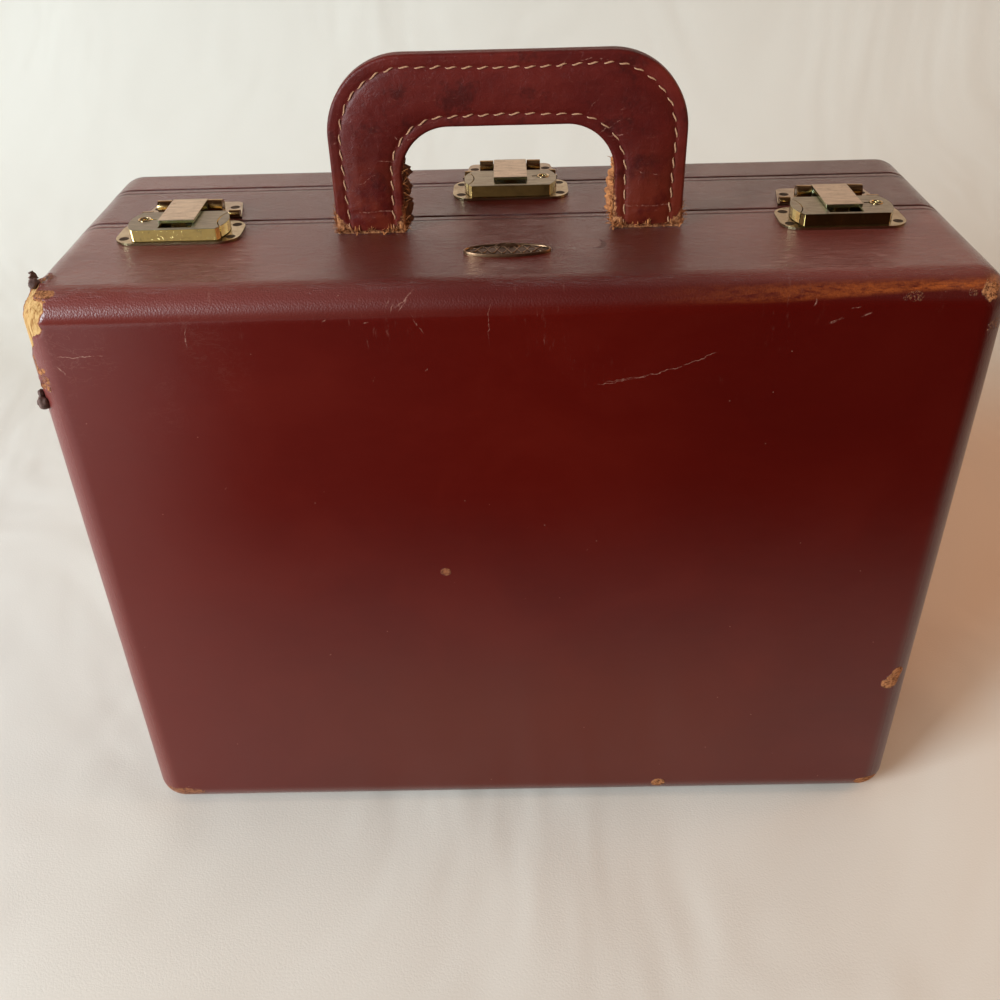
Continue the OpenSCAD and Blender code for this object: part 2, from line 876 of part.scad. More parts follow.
module hasp_plate() {
    back_r = 3.5;
    roll_inset = 0.8;
    color([0.78, 0.62, 0.34])
    difference() {
        union() {
            linear_extrude(plate_t)
                polygon(concat(
                    [[-hasp_front_half, hasp_front_y], [hasp_front_half, hasp_front_y]],
                    arc(hasp_back_half - back_r, hasp_back_y - back_r, back_r, 0, 90),
                    arc(-hasp_back_half + back_r, hasp_back_y - back_r, back_r, 90, 180)
                ));
            for (x = [hasp_front_half - roll_inset - roll_l, -hasp_front_half + roll_inset])
                translate([x, hasp_front_y + roll_r, roll_r])
                    rotate([0, 90, 0])
                    cylinder(r = roll_r, h = roll_l);
            for (x = [lever_w / 2 + lever_play, -hasp_knuckle_x]) {
                knuckle_l = hasp_knuckle_x - lever_w / 2 - lever_play;
                translate([x, hasp_pin_y, hasp_pin_z])
                    rotate([0, 90, 0])
                    cylinder(r = hasp_knuckle_r, h = knuckle_l);
                translate([x, hasp_pin_y - hasp_knuckle_r * 0.8, plate_t / 2])
                    cube([knuckle_l, hasp_knuckle_r * 1.6, hasp_pin_z - plate_t / 2]);
            }
        }
        translate([-hasp_knuckle_x - cut, hasp_pin_y, hasp_pin_z])
            rotate([0, 90, 0])
            cylinder(r = hasp_pin_r + fit, h = 2 * (hasp_knuckle_x + cut));
        hasp_nail_places() nail_hole();
    }
}

module hasp_nails() {
    color([0.45, 0.36, 0.2]) hasp_nail_places() nail();
}

module lever() {
    color([0.78, 0.7, 0.54])
    difference() {
        union() {
            translate([-lever_w / 2, hasp_pin_y - lever_l, lever_base])
                cube([lever_w, lever_l + 0.8, lever_t]);
            translate([-lever_w / 2, hasp_pin_y, hasp_pin_z])
                rotate([0, 90, 0])
                cylinder(r = hasp_knuckle_r, h = lever_w);
        }
        translate([-lever_w / 2 - cut, hasp_pin_y, hasp_pin_z])
            rotate([0, 90, 0])
            cylinder(r = hasp_pin_r + fit, h = lever_w + 2 * cut);
    }
}

module lever_hook(key_side) {
    color([0.55, 0.5, 0.4]) {
        translate([-hook_w / 2, hook_y - hook_t / 2, toe_z]) cube([hook_w, hook_t, lever_base - toe_z]);
        translate([key_side > 0 ? -hook_w / 2 - toe_l : 0, hook_y - hook_t / 2, toe_z])
            cube([hook_w / 2 + toe_l, hook_t, toe_t]);
    }
}

module lever_pin() {
    color("silver")
    translate([-hasp_knuckle_x, hasp_pin_y, hasp_pin_z])
        rotate([0, 90, 0])
        cylinder(r = hasp_pin_r, h = 2 * hasp_knuckle_x);
}

// Left lock
module left_lock_plate() { translate(left_lock) lock_plate(-1); }
module left_lock_case() { translate(left_lock) lock_case(-1); }
module left_release() { translate(left_lock) release(-1); }
module left_lock_nails() { translate(left_lock) lock_nails(); }
module left_hasp_plate() { translate(left_lock) hasp_plate(); }
module left_hasp_nails() { translate(left_lock) hasp_nails(); }
module left_lever() { translate(left_lock) lever(); }
module left_lever_hook() { translate(left_lock) lever_hook(-1); }
module left_lever_pin() { translate(left_lock) lever_pin(); }

// Right lock
module right_lock_plate() { translate(right_lock) lock_plate(1); }
module right_lock_case() { translate(right_lock) lock_case(1); }
module right_release() { translate(right_lock) release(1); }
module right_lock_nails() { translate(right_lock) lock_nails(); }
module right_hasp_plate() { translate(right_lock) hasp_plate(); }
module right_hasp_nails() { translate(right_lock) hasp_nails(); }
module right_lever() { translate(right_lock) lever(); }
module right_lever_hook() { translate(right_lock) lever_hook(1); }
module right_lever_pin() { translate(right_lock) lever_pin(); }

// Middle lock
module middle_lock_plate() { translate(middle_lock) lock_plate(1); }
module middle_lock_case() { translate(middle_lock) lock_case(1); }
module middle_release() { translate(middle_lock) release(1); }
module middle_lock_nails() { translate(middle_lock) lock_nails(); }
module middle_hasp_plate() { translate(middle_lock) hasp_plate(); }
module middle_hasp_nails() { translate(middle_lock) hasp_nails(); }
module middle_lever() { translate(middle_lock) lever(); }
module middle_lever_hook() { translate(middle_lock) lever_hook(1); }
module middle_lever_pin() { translate(middle_lock) lever_pin(); }

main_leather();
main_frame();
front_panel();
main_lining();
main_lip();
badge();
handle_front_leather();
handle_back_leather();
handle_pad();
handle_frame();
handle_anchor_plates();
handle_nuts();
middle_leather();
middle_frame();
divider_panel();
middle_lining();
middle_lip();
back_leather();
back_frame();
back_panel();
back_lining();
front_hinge_fixed_leaf();
front_hinge_swing_leaf();
front_hinge_pin();
back_hinge_fixed_leaf();
back_hinge_swing_leaf();
back_hinge_pin();
main_hinge_screws();
middle_hinge_screws();
back_hinge_screws();
left_lock_plate();
left_lock_case();
left_release();
left_lock_nails();
left_hasp_plate();
left_hasp_nails();
left_lever();
left_lever_hook();
left_lever_pin();
right_lock_plate();
right_lock_case();
right_release();
right_lock_nails();
right_hasp_plate();
right_hasp_nails();
right_lever();
right_lever_hook();
right_lever_pin();
middle_lock_plate();
middle_lock_case();
middle_release();
middle_lock_nails();
middle_hasp_plate();
middle_hasp_nails();
middle_lever();
middle_lever_hook();
middle_lever_pin();
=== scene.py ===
"""Looks of the cosmetic train case: leather skins, handle, locks, badge, linings and the studio."""
import json
import logging
import math
from dataclasses import dataclass, field
from enum import Enum
from typing import Sequence

import bmesh
import bpy
import numpy as np
from mathutils import Matrix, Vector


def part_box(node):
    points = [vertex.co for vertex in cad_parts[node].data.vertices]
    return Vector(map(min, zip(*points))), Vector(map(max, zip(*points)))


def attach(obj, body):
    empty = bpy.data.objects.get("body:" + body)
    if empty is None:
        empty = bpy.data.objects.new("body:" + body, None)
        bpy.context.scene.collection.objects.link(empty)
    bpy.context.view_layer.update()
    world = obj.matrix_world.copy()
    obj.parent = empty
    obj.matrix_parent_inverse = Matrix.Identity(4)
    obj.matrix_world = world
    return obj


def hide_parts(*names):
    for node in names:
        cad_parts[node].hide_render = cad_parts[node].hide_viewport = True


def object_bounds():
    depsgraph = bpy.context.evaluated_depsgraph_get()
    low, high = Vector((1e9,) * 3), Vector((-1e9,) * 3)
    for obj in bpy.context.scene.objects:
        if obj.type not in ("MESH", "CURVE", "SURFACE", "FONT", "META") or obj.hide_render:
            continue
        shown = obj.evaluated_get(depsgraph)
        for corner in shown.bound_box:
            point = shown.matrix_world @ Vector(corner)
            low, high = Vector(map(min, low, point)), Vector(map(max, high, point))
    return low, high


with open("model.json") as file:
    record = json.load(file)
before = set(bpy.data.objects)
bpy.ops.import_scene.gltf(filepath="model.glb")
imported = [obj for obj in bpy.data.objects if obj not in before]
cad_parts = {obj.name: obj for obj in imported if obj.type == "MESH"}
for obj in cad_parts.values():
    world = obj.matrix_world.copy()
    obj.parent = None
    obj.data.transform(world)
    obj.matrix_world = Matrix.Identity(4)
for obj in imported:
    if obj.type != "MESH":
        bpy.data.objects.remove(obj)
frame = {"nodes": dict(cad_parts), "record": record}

CAD_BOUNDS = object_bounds()
MM = 0.001
LOG = logging.getLogger("train_case")

Array = np.ndarray
Colour = tuple[float, float, float]
Socket = bpy.types.NodeSocket


# Arrays and noise

def smooth(low: float, high: float, value: Array) -> Array:
    """Cubic step from 0 at low to 1 at high.

    Args:
        low: Value where the step starts.
        high: Value where the step ends.
        value: Values to turn into the step.

    Returns:
        The step, as an array like value.
    """
    t = np.clip((value - low) / (high - low), 0.0, 1.0)
    return t * t * (3.0 - 2.0 * t)


def lattice_noise(points: Array, cell: float, seed: int) -> Array:
    """Smooth value noise: hashed lattice values blended by cubic steps.

    Args:
        points: Positions, with x, y and z on the last axis.
        cell: Lattice spacing in metres.
        seed: Number that picks the pattern.

    Returns:
        Values from -1 to 1, one per position.
    """
    scaled = points / cell
    base = np.floor(scaled).astype(np.int64)
    part = scaled - base
    part = part * part * (3.0 - 2.0 * part)
    total = np.zeros(points.shape[:-1])
    for dx in (0, 1):
        for dy in (0, 1):
            for dz in (0, 1):
                key = (base[..., 0] + dx) * 73856093 ^ (base[..., 1] + dy) * 19349663
                key = key ^ (base[..., 2] + dz) * 83492791 ^ seed * 2654435
                key = (key ^ (key >> 13)) * 1274126177
                value = ((key ^ (key >> 16)) & 0xFFFF) / 32767.5 - 1.0
                weight = np.abs(1 - dx - part[..., 0]) * np.abs(1 - dy - part[..., 1])
                total += value * weight * np.abs(1 - dz - part[..., 2])
    return total


def make_object(name: str, verts: Array, faces: list, smooth_angle: float = 40.0) -> bpy.types.Object:
    """Makes a mesh object at the origin and links it to the scene.

    Args:
        name: Name of the piece.
        verts: Vertex positions, one row each.
        faces: Vertex numbers of each face.
        smooth_angle: Edges that bend by more than this many degrees stay sharp.

    Returns:
        The new object.
    """
    mesh = bpy.data.meshes.new(name)
    mesh.from_pydata(verts.reshape(-1, 3).tolist(), [], faces)
    mesh.validate()
    mesh.polygons.foreach_set("use_smooth", np.ones(len(mesh.polygons), dtype=bool))
    mesh.set_sharp_from_angle(angle=math.radians(smooth_angle))
    piece = bpy.data.objects.new(name, mesh)
    bpy.context.collection.objects.link(piece)
    return piece


def grid_faces(rows: int, cols: int, wrap_rows: bool, wrap_cols: bool, flip: bool = False) -> list:
    """Quads between the points of a grid, row by row.

    Args:
        rows: Number of rows of points.
        cols: Number of points in a row.
        wrap_rows: Whether the last row joins the first.
        wrap_cols: Whether the last point of a row joins its first.
        flip: Whether the faces are turned over.

    Returns:
        Lists of four vertex numbers.
    """
    i = np.arange(rows if wrap_rows else rows - 1)[:, None]
    j = np.arange(cols if wrap_cols else cols - 1)[None, :]
    i2 = (i + 1) % rows
    j2 = (j + 1) % cols
    quads = np.stack([i * cols + j, i * cols + j2, i2 * cols + j2, i2 * cols + j], axis=-1).reshape(-1, 4)
    if flip:
        quads = quads[:, ::-1]
    return quads.tolist()


def merge_doubles(piece: bpy.types.Object, reach: float = 1e-6) -> None:
    """Merges the vertices of a mesh that lie within reach of each other."""
    work = bmesh.new()
    work.from_mesh(piece.data)
    bmesh.ops.remove_doubles(work, verts=work.verts, dist=reach)
    bmesh.ops.dissolve_degenerate(work, edges=work.edges, dist=reach)
    work.to_mesh(piece.data)
    work.free()


def add_attribute(piece: bpy.types.Object, name: str, values: Array) -> None:
    """Stores one number per vertex under a name that the materials read."""
    layer = piece.data.attributes.new(name=name, type="FLOAT", domain="POINT")
    layer.data.foreach_set("value", values.ravel().astype(np.float32))


def tube(points: Array, normals: Array, radius: Array, sides: int = 6) -> tuple[Array, list]:
    """Round thread or pin along a path: rings of points set square to the path.

    Args:
        points: Centres of the rings.
        normals: A direction across the path at each centre.
        radius: Radius of each ring.
        sides: Points in a ring.

    Returns:
        The vertices and the faces, with both ends closed.
    """
    tangent = np.gradient(points, axis=0)
    tangent /= np.linalg.norm(tangent, axis=1, keepdims=True)
    across = np.cross(tangent, normals)
    across /= np.linalg.norm(across, axis=1, keepdims=True)
    up = np.cross(across, tangent)
    turn = np.arange(sides) * 2 * math.pi / sides
    ring = across[:, None, :] * np.cos(turn)[None, :, None] + up[:, None, :] * np.sin(turn)[None, :, None]
    verts = (points[:, None, :] + ring * radius[:, None, None]).reshape(-1, 3)
    count = len(points)
    faces = grid_faces(count, sides, False, True)
    faces.append(list(range(sides))[::-1])
    faces.append([(count - 1) * sides + k for k in range(sides)])
    return verts, faces


def join_parts(parts: Sequence[tuple[Array, list]]) -> tuple[Array, list]:
    """Puts several lots of vertices and faces into one."""
    verts = []
    faces = []
    start = 0
    for part_verts, part_faces in parts:
        verts.append(part_verts.reshape(-1, 3))
        faces.extend([[start + k for k in face] for face in part_faces])
        start += len(verts[-1])
    return np.concatenate(verts), faces


# Materials

class Graph:
    """A material's node tree, with one short method per kind of node."""

    def __init__(self, name: str) -> None:
        """Makes an empty material with its surface shader."""
        self.material = bpy.data.materials.new(name)
        self.material.use_nodes = True
        self.tree = self.material.node_tree
        self.tree.nodes.clear()
        self.output = self.tree.nodes.new("ShaderNodeOutputMaterial")
        self.shader = self.tree.nodes.new("ShaderNodeBsdfPrincipled")
        self.tree.links.new(self.shader.outputs[0], self.output.inputs["Surface"])
        self.coords = self.tree.nodes.new("ShaderNodeTexCoord").outputs["Object"]
        split = self.tree.nodes.new("ShaderNodeSeparateXYZ")
        self.tree.links.new(self.coords, split.inputs[0])
        self.x, self.y, self.z = split.outputs

    def put(self, target: Socket, value: object) -> None:
        """Links a socket to target, or sets target to a plain value."""
        if isinstance(value, bpy.types.NodeSocket):
            self.tree.links.new(value, target)
        elif isinstance(value, tuple) and len(value) == 3 and target.type == "RGBA":
            target.default_value = (*value, 1.0)
        else:
            target.default_value = value

    def set(self, **values: object) -> None:
        """Puts values on the surface shader's sockets; _ in a name stands for a space."""
        for name, value in values.items():
            self.put(self.shader.inputs[name.replace("_", " ")], value)

    def math(self, kind: str, a: object, b: object = 0.0, c: object = 0.0) -> Socket:
        """Result of a Math node of that kind."""
        node = self.tree.nodes.new("ShaderNodeMath")
        node.operation = kind
        for target, value in zip(node.inputs, (a, b, c)):
            self.put(target, value)
        return node.outputs[0]

    def times(self, *values: object) -> Socket:
        """Product of several values."""
        result = values[0]
        for value in values[1:]:
            result = self.math("MULTIPLY", result, value)
        return result

    def most(self, *values: object) -> Socket:
        """The largest of several values."""
        result = values[0]
        for value in values[1:]:
            result = self.math("MAXIMUM", result, value)
        return result

    def span(self, value: object, low: float, high: float, out: tuple[float, float] = (0.0, 1.0)) -> Socket:
        """Smooth step of a value from low to high, given out as a range."""
        node = self.tree.nodes.new("ShaderNodeMapRange")
        node.interpolation_type = "SMOOTHSTEP"
        for target, number in zip(node.inputs, (value, low, high, out[0], out[1])):
            self.put(target, number)
        return node.outputs[0]

    def attribute(self, name: str) -> Socket:
        """A number that each vertex carries."""
        node = self.tree.nodes.new("ShaderNodeAttribute")
        node.attribute_name = name
        return node.outputs["Fac"]

    def stretch(self, scale: tuple[float, float, float], turn: float = 0.0) -> Socket:
        """Object coordinates scaled by axis and turned about Z by an angle in degrees."""
        node = self.tree.nodes.new("ShaderNodeMapping")
        self.put(node.inputs["Vector"], self.coords)
        node.inputs["Scale"].default_value = scale
        node.inputs["Rotation"].default_value = (0.0, 0.0, math.radians(turn))
        return node.outputs[0]

    def noise(self, scale: float, detail: float = 3.0, rough: float = 0.5, vector: Socket | None = None,
              distort: float = 0.0) -> Socket:
        """Fractal noise from 0 to 1; scale is in cells per metre on plain coordinates."""
        node = self.tree.nodes.new("ShaderNodeTexNoise")
        self.put(node.inputs["Vector"], vector or self.coords)
        node.inputs["Scale"].default_value = scale
        node.inputs["Detail"].default_value = detail
        node.inputs["Roughness"].default_value = rough
        node.inputs["Distortion"].default_value = distort
        return node.outputs["Fac"]

    def cells(self, scale: float, vector: Socket | None = None) -> Socket:
        """Distance to the nearest point of a scattered set, which gives pebbles."""
        node = self.tree.nodes.new("ShaderNodeTexVoronoi")
        self.put(node.inputs["Vector"], vector or self.coords)
        node.inputs["Scale"].default_value = scale
        return node.outputs["Distance"]

    def ramp(self, value: Socket, stops: Sequence[tuple[float, Colour]]) -> Socket:
        """Colour ramp through the given places and colours."""
        node = self.tree.nodes.new("ShaderNodeValToRGB")
        self.put(node.inputs[0], value)
        while len(node.color_ramp.elements) < len(stops):
            node.color_ramp.elements.new(0.5)
        for element, (place, colour) in zip(node.color_ramp.elements, stops):
            element.position = place
            element.color = (*colour, 1.0)
        return node.outputs[0]

    def mix(self, amount: object, a: object, b: object) -> Socket:
        """Colour a where amount is 0 and b where it is 1."""
        node = self.tree.nodes.new("ShaderNodeMix")
        node.data_type = "RGBA"
        self.put(node.inputs[0], amount)
        self.put(node.inputs[6], a)
        self.put(node.inputs[7], b)
        return node.outputs[2]

    def bump(self, height: Socket, depth: float, below: Socket | None = None, strength: float = 1.0) -> Socket:
        """Bumps of a depth in metres, added to the bumps below."""
        node = self.tree.nodes.new("ShaderNodeBump")
        node.inputs["Strength"].default_value = strength
        node.inputs["Distance"].default_value = depth
        self.put(node.inputs["Height"], height)
        if below is not None:
            self.put(node.inputs["Normal"], below)
        return node.outputs[0]

    def blob(self, centre: tuple[float, float, float], size: tuple[float, float, float], ragged: float = 0.35,
             cell: float = 260.0) -> Socket:
        """Ragged spot: 1 inside an ellipsoid round centre, 0 outside, in metres."""
        terms = []
        for axis, place, half in zip((self.x, self.y, self.z), centre, size):
            offset = self.math("DIVIDE", self.math("SUBTRACT", axis, place), half)
            terms.append(self.math("MULTIPLY", offset, offset))
        far = self.math("ADD", self.math("ADD", terms[0], terms[1]), terms[2])
        edge = self.math("MULTIPLY_ADD", self.noise(cell, 4.0, 0.6), 2 * ragged, -ragged)
        return self.span(self.math("ADD", far, self.math("MULTIPLY", edge, 2.0)), 1.1, 0.8)


class Hide(Enum):
    """Kinds of leather on the case."""

    SKIN = "case_leather"
    HANDLE = "handle_leather"
    LIP = "lip_leather"


@dataclass(frozen=True)
class LeatherFinish:
    """Colours and gloss of a leather."""

    deep: Colour = (0.068, 0.0015, 0.0004)
    body: Colour = (0.075, 0.0018, 0.0005)
    bright: Colour = (0.088, 0.0036, 0.0014)
    tan: Colour = (0.48, 0.200, 0.085)
    wood: Colour = (0.54, 0.315, 0.125)
    frayed: Colour = (0.105, 0.034, 0.014)
    roughness: float = 0.42
    specular: float = 0.03
    coat: float = 1.0
    coat_roughness: float = 0.15
    pebble: float = 0.00009
    wrinkle: float = 0.00012
    seams: tuple[float, ...] = ()
    handle_foot: float = 0.288
    contrast: float = 1.0

    def scratch(self, graph: Graph, waver: Sequence[Socket], top_z: float, x0: float, x1: float, height: float,
                slope: float, curve: float, width: float) -> Socket:
        """One thin line in the plane of the front, a little shaky.

        Args:
            graph: Node tree of the leather.
            waver: X and Z coordinates that shake.
            top_z: Height of the top of the case.
            x0: Where the line starts, in millimetres.
            x1: Where it ends, in millimetres.
            height: Its start above the top of the case, in millimetres.
            slope: Rise per run.
            curve: Extra rise per squared run, per millimetre.
            width: Half width of the line, in millimetres.

        Returns:
            The mask of the line.
        """
        along = graph.math("SUBTRACT", waver[0], x0 * MM)
        rise = graph.math("MULTIPLY_ADD", graph.times(along, along), curve / MM, top_z + height * MM)
        rise = graph.math("MULTIPLY_ADD", along, slope, rise)
        gap = graph.math("ABSOLUTE", graph.math("SUBTRACT", waver[1], rise))
        end = min(3.0, (x1 - x0) / 2.4)
        inside = graph.times(graph.span(waver[0], x0 * MM, (x0 + end) * MM),
                             graph.span(waver[0], x1 * MM, (x1 - end) * MM))
        return graph.times(graph.span(gap, (width + 0.12) * MM * math.hypot(1, slope), 0.02 * MM), inside)

    def waver(self, graph: Graph) -> tuple[Socket, Socket]:
        """X and Z coordinates pushed about by noise, for lines that aren't straight."""
        x = graph.math("MULTIPLY_ADD", graph.noise(170.0, 3.0, 0.6), 3.2 * MM, graph.x)
        z = graph.math("MULTIPLY_ADD", graph.noise(210.0, 3.0, 0.6, graph.stretch((1.0, 1.0, 1.3))), 3.2 * MM, graph.z)
        return graph.math("SUBTRACT", x, 1.6 * MM), graph.math("SUBTRACT", z, 1.6 * MM)

    def marks_on_front(self, graph: Graph, front_y: float, top_z: float) -> tuple[Socket, Socket]:
        """Scratches and chips on the front panel.

        Args:
            graph: Node tree of the leather.
            front_y: Plane of the front panel.
            top_z: Height of the top of the case.

        Returns:
            The mask of pale scratches and the mask of tan chips.
        """
        near_front = graph.span(graph.y, front_y + 10 * MM, front_y + 7 * MM)
        waver = self.waver(graph)
        lines = [self.scratch(graph, waver, top_z, *line) for line in (
            (33, 80, -41.7, 0.115, 0.0036, 0.08), (36, 60, -40.4, 0.10, 0.0036, 0.04),
            (113.0, 114.4, -10.8, 2.4, 0.0, 0.34), (118.7, 124.8, -18.2, 0.50, 0.0, 0.24),
            (120.5, 125.4, -17.6, 0.42, 0.0, 0.14), (131.0, 136.4, -14.9, 0.30, 0.0, 0.50),
            (127.4, 131.4, -11.4, 0.1, 0.0, 0.20), (-44.4, -35.6, -8.0, 0.68, 0.0, 0.18),
            (-43.0, -38.0, -9.6, 1.3, 0.0, 0.10), (-38.2, -33.0, -9.2, -2.0, 0.04, 0.20),
            (-47.4, -46.0, -9.5, 4.0, 0.0, 0.14), (-45.2, -43.8, -9.8, 4.0, 0.0, 0.12), (-9.1, -7.8, -23.4, 14.0, 0.0, 0.10),
            (-125.2, -123.4, -22.7, 6.0, 0.0, 0.14), (-54.8, -53.0, -38.0, 0.9, 0.0, 0.20),
            (-33.8, -32.4, -34.2, 0.9, 0.0, 0.16), (-177.0, -156.0, -25.0, 0.02, 0.0, 0.14),
            (-177.2, -173.2, -28.3, -1.2, 0.0, 0.26), (31.2, 32.8, -123.4, 0.8, 0.0, 0.24), (3.4, 4.8, -151.0, 0.5, 0.0, 0.2),
            (-88.8, -87.4, -183.0, 0.6, 0.0, 0.2), (-121.6, -120.2, -88.0, 0.8, 0.0, 0.2),
            (-71.4, -70.0, -12.8, 0.8, 0.0, 0.2), (-56.8, -54.0, -13.9, 0.5, 0.0, 0.2))]
        broken = graph.span(graph.noise(520, 4.0, 0.7), 0.38, 0.62)
        specks = graph.span(graph.cells(88.0), 0.030, 0.014)
        rub = graph.times(graph.span(graph.noise(1.0, 4.0, 0.7, graph.stretch((520.0, 60.0, 110.0))), 0.60, 0.80),
                          graph.span(graph.noise(26.0, 3.0), 0.48, 0.66), graph.span(graph.z, top_z - 60 * MM, top_z - 12 * MM))
        scratches = graph.most(graph.times(graph.most(*lines), broken, near_front), graph.times(specks, 0.7),
                               graph.times(rub, 0.34, near_front))
        grit = graph.span(graph.noise(1500.0, 3.0, 0.7), 0.50, 0.58)
        scratches = graph.most(scratches, graph.times(self.creases(graph, top_z), 0.10, near_front))
        chips = graph.most(
            graph.blob((0.1815, front_y, top_z - 0.2015), (0.0030, 0.008, 0.0036)),
            graph.blob((0.1785, front_y, top_z - 0.2078), (0.0042, 0.008, 0.0034)),
            graph.blob((0.1801, front_y, top_z - 0.2046), (0.0034, 0.008, 0.0034)),
            graph.blob((0.0715, front_y, 0.0112), (0.0036, 0.006, 0.0034)),
            graph.blob((0.1800, front_y + 0.0020, 0.0092), (0.0068, 0.006, 0.0040), 0.35, 420.0),
            graph.times(0.6, graph.blob((-0.1765, front_y + 0.0020, 0.0092), (0.0120, 0.006, 0.0044), 0.5, 420.0)),
            graph.times(0.45, graph.blob((-0.0310, front_y, top_z - 0.134), (0.0023, 0.006, 0.0021))),
            graph.blob((0.1797, front_y + 0.002, top_z - 0.0064), (0.0034, 0.006, 0.0036), 0.9, 420.0),
            graph.times(0.7, grit, graph.blob((0.1838, front_y + 0.002, top_z - 0.0205), (0.0030, 0.006, 0.0026), 0.9)),
            graph.times(0.6, grit, graph.blob((0.1726, front_y, top_z - 0.0069), (0.0017, 0.006, 0.0014), 0.8)),
            graph.times(0.5, grit, graph.blob((0.1508, front_y + 0.001, top_z - 0.0078), (0.0034, 0.006, 0.0019), 1.1)),
        )
        return scratches, chips

    def creases(self, graph: Graph, top_z: float) -> Socket:
        """Fine cracks in the dye below the top left corner: thin contour lines of two noises.

        Args:
            graph: Node tree of the leather.
            top_z: Height of the top of the case.

        Returns:
            The mask of the cracks.
        """
        cracks = []
        for scale, size in ((70.0, (0.7, 1.0, 1.5)), (150.0, (0.6, 1.0, 1.4))):
            web = graph.noise(scale, 4.0, 0.6, graph.stretch(size), 0.5)
            cracks.append(graph.span(graph.math("ABSOLUTE", graph.math("SUBTRACT", web, 0.5)), 0.011, 0.002))
        place = graph.times(graph.span(graph.x, -0.085, -0.150), graph.span(graph.z, top_z - 80 * MM, top_z - 34 * MM),
                            graph.span(graph.noise(30.0, 3.0), 0.40, 0.60))
        return graph.times(graph.most(*cracks), place)

    def nicks_and_painted_shade_on_top(self, graph: Graph, top_z: float) -> Socket:
        """Dark nicks on the top, with painted shade for a crescent dent beside the handle and for a fold along each
        seam.

        Args:
            graph: Node tree of the leather.
            top_z: Height of the top of the case.

        Returns:
            The mask of the dark nicks and the painted shade.
        """
        # Painted shade of a crescent dent beside the handle.
        moon = graph.times(0.55, graph.blob((0.0352, -0.0350, top_z), (0.0040, 0.0052, 0.010), 0.05),
                           graph.math("SUBTRACT", 1.0, graph.blob((0.0331, -0.0338, top_z), (0.0040, 0.0054, 0.010), 0.05)))
        spots = graph.times(graph.span(graph.cells(30.0, graph.stretch((1.0, 1.6, 1.0))), 0.035, 0.020),
                            graph.span(graph.noise(600.0, 3.0, 0.7), 0.40, 0.55))
        # Painted shade in a fold along each seam.
        folds = [graph.span(graph.math("ABSOLUTE", graph.math("SUBTRACT", graph.y, seam - 4.9 * MM)),
                            1.10 * MM, 0.40 * MM, (0.0, 0.8)) for seam in self.seams]
        broken = graph.span(graph.noise(45.0, 4.0, 0.6), 0.30, 0.48, (0.55, 1.0))
        return graph.most(graph.times(graph.most(moon, spots), graph.span(graph.z, top_z - 3 * MM, top_z - MM)),
                          graph.times(graph.most(*folds), broken))

    def make(self, kind: Hide, front_y: float, top_z: float) -> bpy.types.Material:
        """Builds the leather: mottled dye with painted highlights and shade mixed in, glossy coat, pebbles, wrinkles,
        rubbed edges and tears.

        Args:
            kind: Which leather it is.
            front_y: Plane of the front panel.
            top_z: Height of the top of the case.

        Returns:
            The material.
        """
        graph = Graph(kind.value)
        mottle = graph.noise(16.0, 5.0, 0.55, distort=0.6)
        dye = graph.ramp(mottle, ((0.50 - 0.20 / self.contrast, self.deep), (0.50, self.body),
                                  (0.50 + 0.22 / self.contrast, self.bright)))
        streaks = graph.noise(1.0, 5.0, 0.6, graph.stretch((60.0, 420.0, 260.0)))
        dye = graph.mix(graph.span(streaks, 0.35, 0.75, (0.0, 0.22)), dye, self.bright)
        flat_top = graph.span(graph.z, top_z - 4 * MM, top_z - 0.8 * MM)
        dye = graph.mix(graph.math("MULTIPLY", flat_top, 0.5), dye, self.bright)
        if kind is Hide.SKIN:
            # Painted light: the front is redder and brighter towards the left, where more light falls on it.
            dye = graph.mix(graph.span(graph.x, -0.08, -0.20, (0.0, 0.65)), dye, (0.118, 0.0058, 0.0028))
            # Painted shade: the upper right of the front is darkened, standing in for the dark reflection there.
            shade = graph.times(graph.span(graph.x, 0.0, 0.12), graph.span(graph.z, 0.12, 0.24))
            dye = graph.mix(graph.times(shade, 0.45), dye, (0.046, 0.0008, 0.0003))
            # Painted highlight: the roundings on the left are paler, standing in for light caught on them.
            dye = graph.mix(graph.times(graph.attribute("edge"), graph.span(graph.x, 0.02, -0.12, (0.0, 0.75))),
                            dye, (0.23, 0.056, 0.046))
            browned = graph.times(graph.span(graph.z, 0.135, 0.055), graph.span(graph.x, -0.17, -0.02),
                                  graph.span(graph.x, 0.17, 0.06))
            dye = graph.mix(graph.times(browned, 0.6), dye, (0.098, 0.0085, 0.0008))
            ends = graph.span(graph.math("ABSOLUTE", graph.x), 0.04, 0.13)
            ends = graph.times(ends, flat_top, graph.span(graph.y, self.seams[0] + 6 * MM, self.seams[0] - 4 * MM))
            dye = graph.mix(graph.times(ends, 0.8), dye, (0.150, 0.0140, 0.0075))
            # The flat top turns paler towards its ends.
            paler_top_ends = graph.span(graph.math("ABSOLUTE", graph.math("ADD", graph.x, 0.01)), 0.0, 0.13, (0.03, 0.11))
            dye = graph.mix(graph.times(paler_top_ends, flat_top), dye, (0.36, 0.20, 0.17))
        speckle = graph.span(graph.noise(2600.0, 2.0), 0.60, 0.72, (0.0, 0.25))
        dye = graph.mix(speckle, dye, self.deep)

